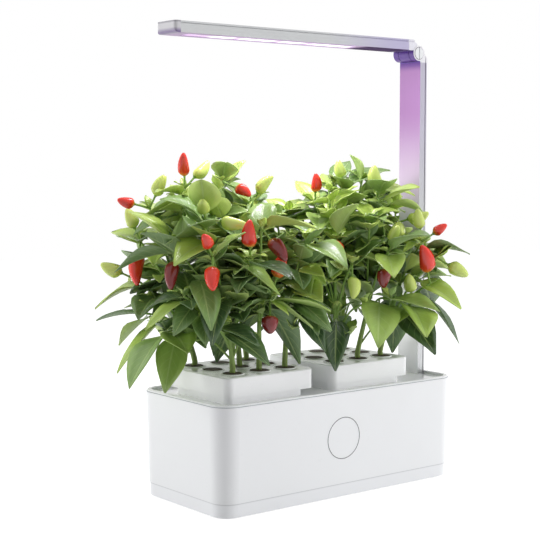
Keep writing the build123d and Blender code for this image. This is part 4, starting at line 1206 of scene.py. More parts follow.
class PointCloud:
    """Scattered points, kept by small cubes so that near ones are found at once."""

    def __init__(self, cube: float = 4.5) -> None:
        """Starts with no point."""
        self.cube = cube
        self.cubes: dict[tuple[int, int, int], list[Triple]] = {}

    def _key(self, point: Triple) -> tuple[int, int, int]:
        """The cube that a point lies in."""
        return (int(point[0] // self.cube), int(point[1] // self.cube), int(point[2] // self.cube))

    def add(self, points: Sequence[Triple]) -> None:
        """Takes in more points."""
        for point in points:
            self.cubes.setdefault(self._key(point), []).append(point)

    def near(self, point: Triple, room: float) -> bool:
        """Whether any of the points lies closer to a point than the room.

        Args:
            point: The point that needs room.
            room: The distance that it needs.

        Returns:
            True where one is too close.
        """
        x, y, z = self._key(point)
        reach = int(room // self.cube) + 1
        for i in range(x - reach, x + reach + 1):
            for j in range(y - reach, y + reach + 1):
                for k in range(z - reach, z + reach + 1):
                    for other in self.cubes.get((i, j, k), ()):
                        if math.dist(point, other) < room:
                            return True
        return False


@dataclass
class PlantRoom:
    """The room that a bush keeps: clear of the pod, the post and the other bush."""

    side: Side
    divide_x: float = -15.75
    room: float = 3.0
    post_room: float = 5.0
    canopy_top: float = 337.0
    plug_top: float = 127.5
    lip_top: float = 104.6
    tray_half_width: float = 52.25
    tray_half_depth: float = 51.0
    post_x: tuple[float, float] = (135.6, 146.0)
    post_y: tuple[float, float] = (-27.0, 3.0)
    skin: float = 0.5

    def held(self, point: Triple) -> Vector:
        """Brings a point of a plant inside the box of the solids.

        Args:
            point: The point, in millimetres.

        Returns:
            The point, in metres.
        """
        low, high = CAD_BOX
        inside = [
            min(max(at * MM, least + self.skin * MM), most - self.skin * MM)
            for at, least, most in zip(point, low, high)
        ]
        return Vector(inside)

    def holds(self, point: Triple) -> bool:
        """Whether a point of a plant keeps clear.

        Args:
            point: The point, in millimetres.

        Returns:
            True where nothing is in its way.
        """
        x, y, z = point
        if self.side.value * (x - self.divide_x) < self.room / 2:
            return False
        if z > self.canopy_top or z < self.lip_top + self.room:
            return False
        over_x = abs(x - TRAY_X[self.side]) < self.tray_half_width + self.room
        over_tray = over_x and abs(y) < self.tray_half_depth + self.room
        if over_tray and z < self.plug_top + self.room:
            return False
        by_post_x = self.post_x[0] - self.post_room < x < self.post_x[1] + self.post_room
        by_post_y = self.post_y[0] - self.post_room < y < self.post_y[1] + self.post_room
        return not (by_post_x and by_post_y)


class Chance(Enum):
    """The draws of chance that a bush keeps apart, by what each adds to the bush's seed."""

    FIRST_LEAVES = 0
    FILLER = 1
    TONES = 2
    FRUITS = 3
    SPROUTS = 4
    BREADTHS = 5


def swing(chance: random.Random, spread: float) -> float:
    """A random part of a spread, to either side."""
    return spread * chance.uniform(-1, 1)


@dataclass
class ChilliBush:
    """One chilli bush: it is planned as the solids are, then filled out leaf by leaf."""

    side: Side
    plan: GrowthPlan

    # Stems, branches, thin shoots and stalks
    stem_radius: float = 2.8
    stem_top_radius: float = 2.1
    stem_stub: float = 8.0
    branch_radius: float = 1.7
    twig_radius: float = 1.1
    stalk_radius: float = 1.0
    elbow_share: float = 0.5
    elbow_rise: float = 9.0
    fork_step: float = 0.17
    shoot_rise: float = 40.0
    lowest_shoot: float = 0.1
    wood_probes: int = 14
    tube_sides: int = 6
    tube_steps: int = 4

    # Fruits, and how far leaves and each other keep off them
    fruit_room: float = 3.5
    late_room: float = 0.8
    fruit_tries: tuple[Span, ...] = tuple(
        (turn, 0) for turn in (0, 25, -25, 50, -50, 80, -80, 110, -110, 150)
    )
    late_tries: tuple[Span, ...] = tuple(
        (turn, tilt) for turn in (0, 20, -20, 40, -40, 60, -60) for tilt in (0, 12, -12, 24, -24)
    )
    fruit_probes: tuple[float, ...] = (0, 0.33, 0.66, 1)
    light_side: Triple = (-0.62, -0.78, 0.08)
    light_steps: tuple[float, ...] = (10, 20, 30, 40, 50)
    fruit_cells: tuple[int, int] = (14, 10)
    fruit_bend: float = 0.1
    fruit_lobes: int = 3
    lobe_depth: float = 0.05
    shoulder_start: float = 0.02
    shoulder_length: float = 0.2
    shoulder_power: float = 0.5
    taper_start: float = 0.3
    taper_length: float = 0.72
    taper_power: float = 1.7
    tip_power: float = 0.62
    pole: float = 0.999

    # Green caps of the fruits, in shares of the fruit's and the stalk's sizes
    cap_sides: int = 10
    cap_radius: float = 0.62
    cap_top: float = 1.3
    cap_depth: float = 0.5
    cap_notch: Triple = (0.66, 0.66, 0.6)
    cap_sink: float = 0.02

    # Leaves that the solids have too
    leaf_plan: tuple[Span, ...] = ((0.15, 95), (0.5, -85), (0.74, 125), (0.88, -70), (0.98, 10))
    leaf_length: float = 56.0
    leaf_spread: float = 12.0
    leaf_width_ratio: float = 0.46
    leaf_root: float = 0.6
    leaf_room: float = 7.0
    wood_room: float = 5.0
    turn_spread: float = 38.0
    low_rise: float = -32.0
    rise_gain: float = 75.0
    rise_spread: float = 24.0
    droops: Span = (0.12, 0.38)
    roll_spread: float = 0.35
    breadths: Span = (0.46, 0.64)
    leaf_tries: tuple[float, ...] = (0, 40, -40, 80, -80, 120, -120, 160)
    leaf_tilts: tuple[float, ...] = (0, 35)
    leaf_probes: tuple[Span, ...] = (
        (0.2, 0.4), (0.2, -0.4), (0.4, 1), (0.4, 0.5), (0.4, 0), (0.4, -0.5), (0.4, -1),
        (0.57, 0.8), (0.57, 0.3), (0.57, -0.3), (0.57, -0.8), (0.74, 0.66), (0.74, 0), (0.74, -0.66),
        (0.87, 0.3), (0.87, -0.3), (1, 0),
    )

    # Leaves that fill the gaps, and the small ones at the growing ends
    filler_sizes: tuple[float, ...] = (50, 46, 44, 40, 36, 34, 30, 26, 24, 20)
    filler_shares: Span = (0.1, 1.0)
    filler_scale: Span = (0.8, 1.2)
    filler_rise: float = -28.0
    filler_droops: Span = (0.05, 0.4)
    filler_roll: float = 0.6
    filler_room: float = 4.0
    filler_wood_room: float = 1.6
    sprout_leaves: int = 4
    sprout_length: float = 19.0
    sprout_scale: Span = (0.7, 1.3)
    sprout_turn: float = 30.0
    sprout_rise: float = 45.0
    sprout_rise_spread: float = 25.0
    sprout_droop: float = 0.25
    sprout_room: float = 1.0

    # Form of a leaf, and its green, with painted light at the top and outside of the crown and painted shade
    # low down and inside
    leaf_cells: tuple[int, int] = (8, 4)
    leaf_thickness: float = 0.45
    leaf_fold: float = 0.35
    ripples: Span = (0.4, 1.2)
    ripple_turn: float = 9.0
    ripple_shift: float = 1.5
    stalk_share: float = 0.16
    stalk_width: float = 0.05
    blade_swell: float = 0.6
    blade_taper: float = 1.05
    blade_peak: float = 0.339
    crown_radius: float = 90.0
    height_painted_light: float = 0.90
    outer_painted_light: float = 0.16
    young_tone: float = 0.25
    tone_spread: float = 0.62

    def __post_init__(self) -> None:
        """Plans the bush."""
        self.room = PlantRoom(self.side)
        self.root = (TRAY_X[self.side], 0, self.room.plug_top)
        self.canopy = self.room.canopy_top - self.room.plug_top
        self.tubes: list[Tube] = []
        self.forks: list[tuple[Triple, Triple]] = []
        self.branches: list[tuple[Triple, Triple, Triple]] = []
        self.leaves: list[Leaf] = []
        self.pods: list[Pod] = []
        self.taken = PointCloud()
        self.wood = PointCloud()
        self.pod_points: list[tuple[Triple, float]] = []
        self._plan_wood()
        for number, spot in enumerate(self.plan.fruits):
            self._hang_fruit(spot, self.plan.ripeness(number), self.fruit_tries, self.fruit_room)
        self._plan_leaves()
        self._broaden()
        for spot, ripeness in self.plan.late_fruits:
            self._hang_fruit(spot, ripeness, self.late_tries, self.late_room)
        self._open_views()
        self._plan_shoots()
        self._plan_filler()
        self._plan_sprouts()

    def _chance(self, draws: Chance) -> random.Random:
        """One of the bush's own draws of chance."""
        return random.Random(self.plan.seed + draws.value)

    def _level(self, height: float) -> float:
        """A height as a share of the canopy."""
        return (height - self.room.plug_top) / self.canopy

    def _grow_wood(self, tube: Tube) -> None:
        """Adds a stem or branch, and keeps points along it, which leaves and fruits stay off.

        Args:
            tube: The stem or branch.
        """
        self.tubes.append(tube)
        for near, far in zip(tube.path, tube.path[1:]):
            self.wood.add([along(near, far, k / self.wood_probes) for k in range(self.wood_probes + 1)])

    def _grow_branch(self, start: Triple, end: Triple, radius: float, end_radius: float) -> None:
        """Adds a bent branch.

        Args:
            start: Where it leaves its stem.
            end: Its growing end.
            radius: Its radius at the start.
            end_radius: Its radius from the elbow on.
        """
        elbow = add(along(start, end, self.elbow_share), (0, 0, self.elbow_rise))
        self.branches.append((start, elbow, end))
        self._grow_wood(Tube([start, elbow, end], [radius, end_radius, end_radius]))

    def _plan_wood(self) -> None:
        """Stems from the plugs to their forks, and a bent branch from a fork to each tip."""
        for column, row, fork in self.plan.stems:
            foot = add(self.root, (column * HOLE_PITCH[0], row * HOLE_PITCH[1], 0))
            top = add(foot, fork)
            bend = add(foot, (0, 0, self.stem_stub))
            self.forks.append((bend, top))
            radii = [self.stem_radius, self.stem_radius, self.stem_top_radius]
            self._grow_wood(Tube([foot, bend, top], radii))
        taken_forks = [0] * len(self.forks)
        for tip in self.plan.tips:
            end = add(self.root, tip)
            stem = min(range(len(self.forks)), key=lambda k: self._fork_distance(self.forks[k][1], end))
            bend, top = self.forks[stem]
            start = along(top, bend, self.fork_step * taken_forks[stem])
            taken_forks[stem] += 1
            self._grow_branch(start, end, self.branch_radius, self.twig_radius)

    @staticmethod
    def _fork_distance(fork: Triple, end: Triple) -> float:
        """How far a branch end is from a fork, with height counted half."""
        return math.hypot(fork[0] - end[0], fork[1] - end[1], (fork[2] - end[2]) / 2)

    def _plan_shoots(self) -> None:
        """Thin side shoots from the stems into the gaps of the crown, which only carry more leaves."""
        for tip in self.plan.shoots:
            end = add(self.root, tip)
            bend, top = min(self.forks, key=lambda fork: self._fork_distance(fork[1], end))
            level = (end[2] - self.shoot_rise - bend[2]) / (top[2] - bend[2])
            start = along(bend, top, min(1.0, max(self.lowest_shoot, level)))
            self._grow_branch(start, end, self.twig_radius, self.stalk_radius)

    def _hang_fruit(self, spot: FruitSpot, ripeness: Ripeness, tries: Sequence[Span], room: float) -> None:
        """Hangs a fruit on a stalk at a branch's end, turned until it hangs free.

        Args:
            spot: Where and how large the plan has it.
            ripeness: How ripe it is.
            tries: The turns and tilts that are tried, in degrees.
            room: The distance that it keeps from everything.
        """
        branch, azimuth, elevation, stalk, length, radius = spot
        tip = self.branches[branch][2]
        for turn, tilt in tries:
            way = heading(azimuth + turn, elevation + tilt)
            crown = add(tip, scale(way, stalk))
            points = [add(crown, scale(way, length * share)) for share in self.fruit_probes]
            if self._hangs_free(points, radius + room):
                self.pods.append(Pod(crown, way, length, radius, ripeness))
                self.pod_points += [(point, radius) for point in points]
                self.tubes.append(Tube([tip, crown], [self.stalk_radius, self.stalk_radius]))
                return

    def _hangs_free(self, points: list[Triple], clear: float) -> bool:
        """Whether a fruit keeps clear of the pod, the other fruits, the wood and the leaves.

        Args:
            points: Points along the fruit.
            clear: The distance that they need.

        Returns:
            True where the fruit may hang.
        """
        if not all(self.room.holds(point) for point in points) or not self._off_fruits(points, clear):
            return False
        return not any(self.wood.near(point, clear) or self.taken.near(point, clear) for point in points)

    def _fits(self, points: list[Triple], leaf_room: float, wood_room: float) -> bool:
        """Whether a leaf keeps clear of the pod, the wood, every fruit and the other leaves.

        Args:
            points: Points of the leaf.
            leaf_room: Least distance from points of other leaves.
            wood_room: Least distance from stems and branches.

        Returns:
            True where the leaf may grow.
        """
        if not all(self.room.holds(point) for point in points):
            return False
        if not self._off_fruits(points, self.fruit_room + leaf_room / 2):
            return False
        if any(self.wood.near(point, wood_room) for point in points):
            return False
        return not any(self.taken.near(point, leaf_room) for point in points)

    def _off_fruits(self, points: list[Triple], clear: float) -> bool:
        """Whether points keep a clearance from every fruit.

        Args:
            points: The points.
            clear: The distance that they need from a fruit's skin.

        Returns:
            True where none is too close.
        """
        for centre, radius in self.pod_points:
            if min(math.dist(point, centre) for point in points) < radius + clear:
                return False
        return True

    def _probes(self, leaf: Leaf) -> list[Triple]:
        """Points of a leaf that are tested for room.

        Args:
            leaf: The leaf.

        Returns:
            The points.
        """
        half_width = leaf.length * leaf.breadth / 2
        return [
            leaf.point(share, half_width * across, abs(half_width * across) * self.leaf_fold)
            for share, across in self.leaf_probes
        ]

    def _leaf_at(
        self, place: Triple, azimuth: float, rise: float, roll: float, length: float, droop: float,
    ) -> Leaf:
        """Makes a leaf that starts at a place on a branch.

        Args:
            place: The place.
            azimuth: Where the leaf points, in degrees from +X.
            rise: How steeply it rises, in degrees.
            roll: How far it leans to one side, as a slope.
            length: Its length.
            droop: How far its tip sags, as a share of its length.

        Returns:
            The leaf, at the common breadth.
        """
        axis = heading(azimuth, rise)
        sideways = unit(cross(axis, (0, 0, 1)))
        normal = unit(add(cross(sideways, axis), scale(sideways, roll)))
        base = add(place, scale(axis, -self.leaf_root))
        return Leaf(base, axis, normal, length, droop, self.leaf_width_ratio)

    def _grow_leaf(
        self, place: Triple, azimuth: float, rise: float, roll: float, length: float, droop: float,
        leaf_room: float, wood_room: float, breadth: float | None = None,
    ) -> None:
        """Adds a leaf, turned and tilted until it has room.

        Args:
            place: Where it starts on its branch.
            azimuth: Where it points at first, in degrees from +X.
            rise: How steeply it rises at first, in degrees.
            roll: How far it leans to one side, as a slope.
            length: Its length.
            droop: How far its tip sags, as a share of its length.
            leaf_room: Least distance from other leaves.
            wood_room: Least distance from stems and branches.
            breadth: Its width as a share of its length, where it isn't the common one.
        """
        for tilt in self.leaf_tilts:
            for turn in self.leaf_tries:
                leaf = self._leaf_at(place, azimuth + turn, rise + tilt, roll, length, droop)
                leaf.breadth = breadth or leaf.breadth
                points = self._probes(leaf)
                if self._fits(points, leaf_room, wood_room):
                    self.leaves.append(leaf)
                    self.taken.add(points)
                    return

    def _plan_leaves(self) -> None:
        """The leaves that the solids have, in the same order of chance."""
        chance = self._chance(Chance.FIRST_LEAVES)
        for start, elbow, end in self.branches:
            forward = math.degrees(math.atan2(end[1] - start[1], end[0] - start[0]))
            height = self._level(end[2])
            for share, turn in self.leaf_plan:
                length = self.leaf_length + swing(chance, self.leaf_spread)
                azimuth = forward + turn + swing(chance, self.turn_spread)
                rise = self.low_rise + self.rise_gain * height * share
                rise += swing(chance, self.rise_spread)
                droop = chance.uniform(*self.droops)
                roll = swing(chance, self.roll_spread)
                place = along(elbow, end, share)
                self._grow_leaf(place, azimuth, rise, roll, length, droop, self.leaf_room, self.wood_room)

    def _broaden(self) -> None:
        """Gives each leaf a breadth of its own, as far as it has room."""
        chance = self._chance(Chance.BREADTHS)
        for leaf in self.leaves:
            wanted = replace(leaf, breadth=chance.uniform(*self.breadths))
            if all(self.room.holds(point) for point in self._probes(wanted)):
                leaf.breadth = wanted.breadth

    def _open_views(self) -> None:
        """Keeps the light side of each fruit open, so that the leaves that follow don't cover it."""
        for centre, radius in list(self.pod_points):
            steps = [add(centre, scale(self.light_side, far)) for far in self.light_steps]
            self.pod_points += [(step, radius) for step in steps]

    def _plan_filler(self) -> None:
        """Leaves of all sizes in the gaps between the others, the large ones first."""
        chance = self._chance(Chance.FILLER)
        runs = [run for start, elbow, end in self.branches for run in ((start, elbow), (elbow, end))]
        runs += self.forks
        for size in self.filler_sizes:
            for near, far in runs:
                place = along(near, far, chance.uniform(*self.filler_shares))
                length = size * chance.uniform(*self.filler_scale)
                azimuth = chance.uniform(-180, 180)
                rise = self.filler_rise + self.rise_gain * self._level(place[2])
                rise += swing(chance, self.rise_spread)
                droop = chance.uniform(*self.filler_droops)
                roll = swing(chance, self.filler_roll)
                breadth = chance.uniform(*self.breadths)
                room = self.filler_room * size / self.leaf_length
                if place[2] >= self.room.plug_top + self.plan.bare_stem:
                    self._grow_leaf(
                        place, azimuth, rise, roll, length, droop, room, self.filler_wood_room, breadth,
                    )

    def _plan_sprouts(self) -> None:
        """Small upright leaves at the growing ends of the branches."""
        chance = self._chance(Chance.SPROUTS)
        for _, elbow, end in self.branches:
            forward = math.degrees(math.atan2(end[1] - elbow[1], end[0] - elbow[0]))
            for number in range(self.sprout_leaves):
                azimuth = forward + 360 * number / self.sprout_leaves + swing(chance, self.sprout_turn)
                length = self.sprout_length * chance.uniform(*self.sprout_scale)
                rise = self.sprout_rise + swing(chance, self.sprout_rise_spread)
                leaf = self._leaf_at(end, azimuth, rise, 0.0, length, self.sprout_droop)
                points = self._probes(leaf)
                inside = all(self.room.holds(point) for point in points)
                if inside and self._off_fruits(points, self.sprout_room):
                    self.leaves.append(leaf)

    def build(self) -> None:
        """Makes the bush's pieces, which stand for its plain solids."""
        word = self.side.word
        body = word + "_tray"
        foliage = self._build_foliage(word + "_foliage", body)
        wood = self._build_wood(word + "_wood", body)
        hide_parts(word + "_plants")
        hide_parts(word + "_plants")
        fruits = self._build_fruits(word + "_chillies", body)
        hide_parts(word + "_fruits")
        self._build_calyces(word + "_calyces", body)

    def _tone_and_painted_light(self, leaf: Leaf, chance: random.Random) -> float:
        """Green of a leaf: painted shade low down and inside, painted light at the top and outside, and
        paler where a leaf is young.

        Args:
            leaf: The leaf.
            chance: The draw that makes each leaf a little different.

        Returns:
            The value for the green's ramp, from 0 to 1.
        """
        middle = leaf.point(0.5, 0, 0)
        out = math.hypot(middle[0] - TRAY_X[self.side], middle[1]) / self.crown_radius
        young = self.young_tone if leaf.length < self.leaf_length / 2 else 0.0
        tone_and_painted_light = self.height_painted_light * self._level(middle[2]) + self.outer_painted_light * min(1.0, out) + young
        return min(1.0, max(0.0, tone_and_painted_light + swing(chance, self.tone_spread)))

    def _blade_width(self, share: float) -> float:
        """Width of a leaf along its length: a thin stalk, a full base and a drawn-out tip.

        Args:
            share: Share of its length.

        Returns:
            Share of its half width.
        """
        if share <= self.stalk_share:
            return self.stalk_width
        blade = (share - self.stalk_share) / (1 - self.stalk_share)
        width = blade ** self.blade_swell * (1 - blade) ** self.blade_taper / self.blade_peak
        return max(self.stalk_width, width)

    def _build_foliage(self, name: str, body: str) -> bpy.types.Object:
        """Makes all leaves of the bush one piece of thin blades.

        Args:
            name: Name of the piece.
            body: The body that it rides on.

        Returns:
            The piece.
        """
        form = bmesh.new()
        chart = form.loops.layers.uv.new("blade")
        tone_and_painted_light_layer = form.verts.layers.float.new("tone_and_painted_light")
        chance = self._chance(Chance.TONES)
        for leaf in self.leaves:
            tone_and_painted_light = self._tone_and_painted_light(leaf, chance)
            for vert in self._add_leaf(form, leaf, chart, chance):
                vert[tone_and_painted_light_layer] = tone_and_painted_light
        smooth(form)
        piece = add_piece(name, form, [LEAF_TOP, LEAF_UNDER], body)
        skin = piece.modifiers.new("blade_thickness", "SOLIDIFY")
        skin.thickness = self.leaf_thickness * MM
        skin.offset = -1.0
        skin.material_offset = 1
        skin.material_offset_rim = 1
        return piece

    def _add_leaf(
        self, form: bmesh.types.BMesh, leaf: Leaf, chart: bmesh.types.BMLayerItem, chance: random.Random,
    ) -> list[bmesh.types.BMVert]:
        """Bends one small grid into a leaf.

        Args:
            form: The mesh of the foliage.
            leaf: The leaf.
            chart: The layer for the place on the blade.
            chance: The draw for its ripple.

        Returns:
            The leaf's vertices.
        """
        columns, rows = self.leaf_cells
        grid = bmesh.ops.create_grid(form, x_segments=columns, y_segments=rows, size=1.0)["verts"]
        half_width = leaf.length * leaf.breadth / 2
        ripple = chance.uniform(*self.ripples)
        start = chance.uniform(0, 2 * math.pi)
        places = {}
        for vert in grid:
            share = (vert.co.x + 1) / 2
            across = -vert.co.y
            half = half_width * self._blade_width(share) * across
            shift = self.ripple_shift if across > 0 else 0.0
            wave = ripple * abs(across) ** 2 * math.sin(start + self.ripple_turn * share + shift)
            vert.co = self.room.held(leaf.point(share, half, abs(half) * self.leaf_fold + wave))
            places[vert] = (share, (across + 1) / 2)
        for face in faces_at(grid):
            for loop in face.loops:
                loop[chart].uv = places[loop.vert]
        return grid

    def _build_wood(self, name: str, body: str) -> bpy.types.Object:
        """Makes stems, branches and stalks one piece of smooth tapered tubes.

        Args:
            name: Name of the piece.
            body: The body that it rides on.

        Returns:
            The piece.
        """
        form = bmesh.new()
        for tube in self.tubes:
            self._add_tube(form, tube)
        smooth(form)
        return add_piece(name, form, [STEM_GREEN], body)

    def _smoothed(self, tube: Tube) -> list[tuple[Vector, float]]:
        """Points and radii along a tube, with its bends rounded.

        Args:
            tube: The tube.

        Returns:
            Pairs of a point and its radius.
        """
        corners = [Vector(point) for point in tube.path]
        corners = [2 * corners[0] - corners[1], *corners, 2 * corners[-1] - corners[-2]]
        points = []
        for k in range(1, len(corners) - 2):
            before, near, far, after = corners[k - 1:k + 3]
            for step in range(self.tube_steps):
                t = step / self.tube_steps
                bent = 2 * near + (far - before) * t
                bent += (2 * before - 5 * near + 4 * far - after) * t ** 2
                bent += (3 * near - before - 3 * far + after) * t ** 3
                points.append((bent / 2, tube.radii[k - 1] * (1 - t) + tube.radii[k] * t))
        points.append((corners[-2], tube.radii[-1]))
        return points

    def _add_tube(self, form: bmesh.types.BMesh, tube: Tube) -> None:
        """Extrudes a circle along a tube's path and closes both ends.

        Args:
            form: The mesh of the wood.
            tube: The tube.
        """
        points = self._smoothed(tube)
        sideways = Vector(ASIDE)
        rim = bmesh.ops.create_circle(form, segments=self.tube_sides, radius=1.0, cap_ends=True)["verts"]
        edges = edges_at(rim)
        verts = list(rim)
        before = Matrix.Identity(4)
        for number, (point, radius) in enumerate(points):
            ahead = points[min(number + 1, len(points) - 1)][0] - points[max(number - 1, 0)][0]
            ahead.normalize()
            sideways = (sideways - ahead * sideways.dot(ahead)).normalized()
            turn = Matrix((sideways, ahead.cross(sideways), ahead)).transposed().to_4x4()
            place = Matrix.Translation(point * MM) @ turn @ Matrix.Scale(radius * MM, 4)
            if number:
                made = bmesh.ops.extrude_edge_only(form, edges=edges)["geom"]
                rim = [item for item in made if isinstance(item, bmesh.types.BMVert)]
                edges = [item for item in made if isinstance(item, bmesh.types.BMEdge)]
                verts += rim
            bmesh.ops.transform(form, matrix=place @ before.inverted(), verts=rim)
            before = place
        bmesh.ops.contextual_create(form, geom=edges)
        bmesh.ops.recalc_face_normals(form, faces=faces_at(verts))

    def _build_fruits(self, name: str, body: str) -> bpy.types.Object:
        """Makes the fruits one piece.

        Args:
            name: Name of the piece.
            body: The body that it rides on.

        Returns:
            The piece.
        """
        form = bmesh.new()
        shares = form.verts.layers.float.new("along")
        ripeness = form.verts.layers.float.new("ripeness")
        chance = self._chance(Chance.FRUITS)
        for pod in self.pods:
            for vert in self._add_fruit(form, pod, shares, chance):
                vert[ripeness] = pod.ripeness.value
        smooth(form)
        return add_piece(name, form, [FRUIT_SKIN], body)

    def _fruit_width(self, share: float) -> float:
        """Width of a fruit along its length: square shoulders and a blunt tip.

        Args:
            share: Share of its length.

        Returns:
            Share of its radius.
        """
        shoulder = min(1.0, (share + self.shoulder_start) / self.shoulder_length) ** self.shoulder_power
        beyond = max(0.0, share - self.taper_start) / self.taper_length
        return shoulder * max(0.0, 1 - beyond ** self.taper_power) ** self.tip_power

    def _add_fruit(
        self, form: bmesh.types.BMesh, pod: Pod, shares: bmesh.types.BMLayerItem, chance: random.Random,
    ) -> list[bmesh.types.BMVert]:
        """Draws a sphere out into a chilli.

        Args:
            form: The mesh of the fruits.
            pod: The fruit.
            shares: The layer for the share of its length.
            chance: The draw for its bend.

        Returns:
            The fruit's vertices.
        """
        around, rows = self.fruit_cells
        ball = bmesh.ops.create_uvsphere(form, u_segments=around, v_segments=rows, radius=1.0)["verts"]
        way = Vector(pod.way)
        first = way.cross(Vector(ASIDE)).normalized()
        second = way.cross(first)
        curve = swing(chance, self.fruit_bend * pod.length)
        for vert in ball:
            share = (1 - vert.co.z) / 2
            turn = math.atan2(vert.co.y, vert.co.x)
            lobes = 1 + self.lobe_depth * math.sin(self.fruit_lobes * turn)
            out = 0.0 if abs(vert.co.z) > self.pole else pod.radius * self._fruit_width(share) * lobes
            sag = curve * 4 * share * (1 - share)
            place = Vector(pod.crown) + way * (pod.length * share)
            place += first * (out * math.cos(turn) + sag) + second * (out * math.sin(turn))
            vert.co = place * MM
            vert[shares] = share
        bmesh.ops.recalc_face_normals(form, faces=faces_at(ball))
        return ball

    def _build_calyces(self, name: str, body: str) -> bpy.types.Object:
        """Makes the green caps, each with five lobes, where the stalks meet the fruits.

        Args:
            name: Name of the piece.
            body: The body that it rides on.

        Returns:
            The piece.
        """
        form = bmesh.new()
        for pod in self.pods:
            way = Vector(pod.way)
            cap = bmesh.ops.create_cone(
                form, cap_ends=True, segments=self.cap_sides, radius1=self.cap_radius * pod.radius * MM,
                radius2=self.cap_top * self.stalk_radius * MM, depth=self.cap_depth * pod.radius * MM,
            )["verts"]
            rim = [vert for vert in cap if vert.co.z < 0]
            rim.sort(key=lambda vert: math.atan2(vert.co.y, vert.co.x))
            bmesh.ops.scale(form, vec=self.cap_notch, verts=rim[::2])
            turn = (-way).to_track_quat("Z", "Y").to_matrix().to_4x4()
            place = Matrix.Translation((Vector(pod.crown) + way * (self.cap_sink * pod.length)) * MM)
            bmesh.ops.transform(form, matrix=place @ turn, verts=cap)
        smooth(form)
        return add_piece(name, form, [STEM_GREEN], body)


def add_lamp(name: str, place: Vector, way: Vector, power: float) -> bpy.types.Object:
    """Adds an area lamp that the camera doesn't see.

    Args:
        name: Name of the lamp.
        place: Where it stands, in metres.
        way: The direction in which it shines.
        power: Its power in watts.

    Returns:
        The lamp's object.
    """
    lamp = bpy.data.lights.new(name, "AREA")
    lamp.energy = power
    holder = bpy.data.objects.new(name, lamp)
    holder.location = place
    holder.rotation_euler = way.to_track_quat("-Z", "Y").to_euler()
    holder.visible_camera = False
    bpy.context.scene.collection.objects.link(holder)
    return holder


@dataclass
class SoftPanel:
    """A square soft lamp: its place off the middle of the pod in metres, its power and its side."""

    name: str
    offset: Triple
    power: float
    side: float

    def build(self, middle: Vector) -> None:
        """Adds the panel, which shines at the middle and leaves no mirror image.

        Args:
            middle: The middle of the pod.
        """
        offset = Vector(self.offset)
        panel = add_lamp(self.name, middle + offset, -offset, self.power)
        panel.data.size = self.side
        panel.visible_glossy = False


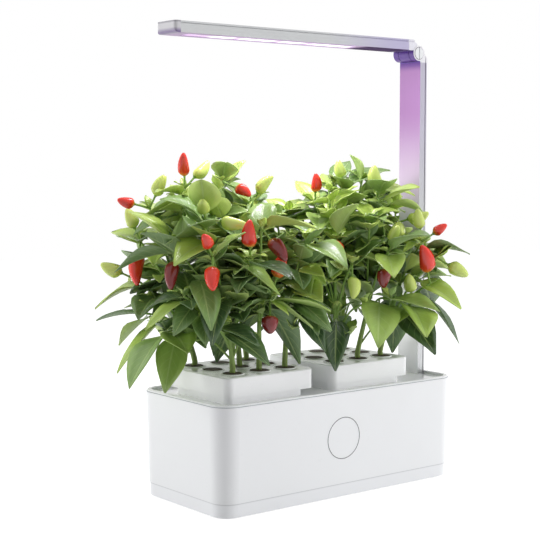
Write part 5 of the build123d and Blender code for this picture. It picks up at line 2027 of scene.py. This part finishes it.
@dataclass
class Studio:
    """Pale floor, white backdrop, soft lamps and the camera."""

    eye: Triple = (-831.98, -998.35, 318.83)
    azimuth: float = 38.39
    elevation: float = 4.51
    lens: float = 87.19
    sensor: float = 36.0
    ambient: float = 0.40
    floor_size: float = 6.0
    floor_cells: int = 8
    floor_greys: tuple[Colour, Colour] = ((0.80, 0.80, 0.80), (0.82, 0.82, 0.82))
    floor_grain: Pattern = (30.0, 3.0)
    floor_roughness: float = 0.9
    floor_lift: float = 0.70
    middle: Triple = (0.0, 0.0, 0.2)
    panels: tuple[SoftPanel, ...] = (
        SoftPanel("left_panel", (-1.02, 1.10, 0.25), 14.0, 0.8),
        SoftPanel("right_panel", (1.14, -0.98, 0.25), 14.2, 0.8),
        SoftPanel("top_panel", (-0.2, -0.3, 1.6), 6.0, 1.0),
    )

    def build(self) -> None:
        """Sets up the light, the floor and the camera."""
        bpy.context.scene.view_settings.view_transform = "Standard"
        self._add_world()
        self._add_floor()
        for panel in self.panels:
            panel.build(Vector(self.middle))
        self._add_camera()

    def _add_world(self) -> None:
        """White for what the camera, gloss and glass see, and a plain level of light for the rest."""
        world = bpy.data.worlds.new("studio")
        bpy.context.scene.world = world
        world.use_nodes = True
        strength = self._seen(Sheet(world.node_tree)).within((self.ambient, 1.0))
        background = world.node_tree.nodes["Background"]
        background.inputs["Color"].default_value = (1, 1, 1, 1)
        world.node_tree.links.new(strength.socket, background.inputs["Strength"])

    @staticmethod
    def _seen(sheet: Sheet) -> Value:
        """Finds the rays that look at the backdrop, straight or by reflection.

        Args:
            sheet: The sheet that asks.

        Returns:
            1 for such a ray, or else 0.
        """
        words = ("Is Camera Ray", "Is Glossy Ray", "Is Transmission Ray")
        camera, gloss, glass = (sheet.node("ShaderNodeLightPath", {}, {}, word) for word in words)
        return camera.most(gloss).most(glass)

    def _add_floor(self) -> None:
        """A pale floor that is white where no shadow falls."""
        form = bmesh.new()
        cells = self.floor_cells
        bmesh.ops.create_grid(form, x_segments=cells, y_segments=cells, size=self.floor_size / 2)
        mesh = bpy.data.meshes.new("floor")
        form.to_mesh(mesh)
        form.free()
        floor = bpy.data.objects.new("floor", mesh)
        bpy.context.scene.collection.objects.link(floor)
        material = bpy.data.materials.new("pale_floor")
        material.use_nodes = True
        sheet = Sheet(material.node_tree)
        seen = self._seen(sheet)
        sheet.surface({
            "Base Color": sheet.blend(sheet.noise(*self.floor_grain), *self.floor_greys),
            "Roughness": self.floor_roughness,
            "Specular IOR Level": 0.0,
            "Emission Color": sheet.blend(seen, (0.0, 0.0, 0.0), (1.0, 1.0, 1.0)),
            "Emission Strength": self.floor_lift,
        })
        mesh.materials.append(material)

    def _add_camera(self) -> None:
        """The camera at the picture's viewing angle."""
        lens = bpy.data.cameras.new("view")
        lens.lens = self.lens
        lens.sensor_width = self.sensor
        turn = math.radians(self.azimuth)
        rise = math.radians(self.elevation)
        ahead = Vector((math.sin(turn) * math.cos(rise), math.cos(turn) * math.cos(rise), -math.sin(rise)))
        camera = bpy.data.objects.new("view", lens)
        camera.location = Vector(self.eye) * MM
        camera.rotation_euler = ahead.to_track_quat("-Z", "Y").to_euler()
        bpy.context.scene.collection.objects.link(camera)
        bpy.context.scene.camera = camera


@dataclass
class LampGlow:
    """Light that the lamp throws on the plants, which moves with its arm."""

    strip_place: Triple = (-47.0, -12.0, 436.0)
    strip_length: float = 200.0
    strip_width: float = 12.0
    strip_power: float = 0.55
    strip_colour: Colour = (0.93, 0.86, 1.0)

    def build(self) -> None:
        """Adds the strip under the lens."""
        strip = add_lamp("strip_light", Vector(self.strip_place) * MM, Vector((0, 0, -1)), self.strip_power)
        strip.data.shape = "RECTANGLE"
        strip.data.size = self.strip_length * MM
        strip.data.size_y = self.strip_width * MM
        strip.data.color = self.strip_colour
        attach(strip, "lamp")


def main() -> None:
    """Builds and dresses the pod, and lights it."""
    logging.basicConfig(level=logging.INFO, format="%(name)s: %(message)s")
    trays = [PlantingTray(side=side) for side in Side]
    for part in (WaterBase(), LampPost(), LampArm(), *trays):
        part.dress()
        part.build()
    for bush in (ChilliBush(Side.LEFT, LEFT_PLAN), ChilliBush(Side.RIGHT, RIGHT_PLAN)):
        LOG.info("bush %s: %d leaves, %d fruits", bush.side.word, len(bush.leaves), len(bush.pods))
        bush.build()
    Studio().build()
    LampGlow().build()


if __name__ == "__main__":
    main()
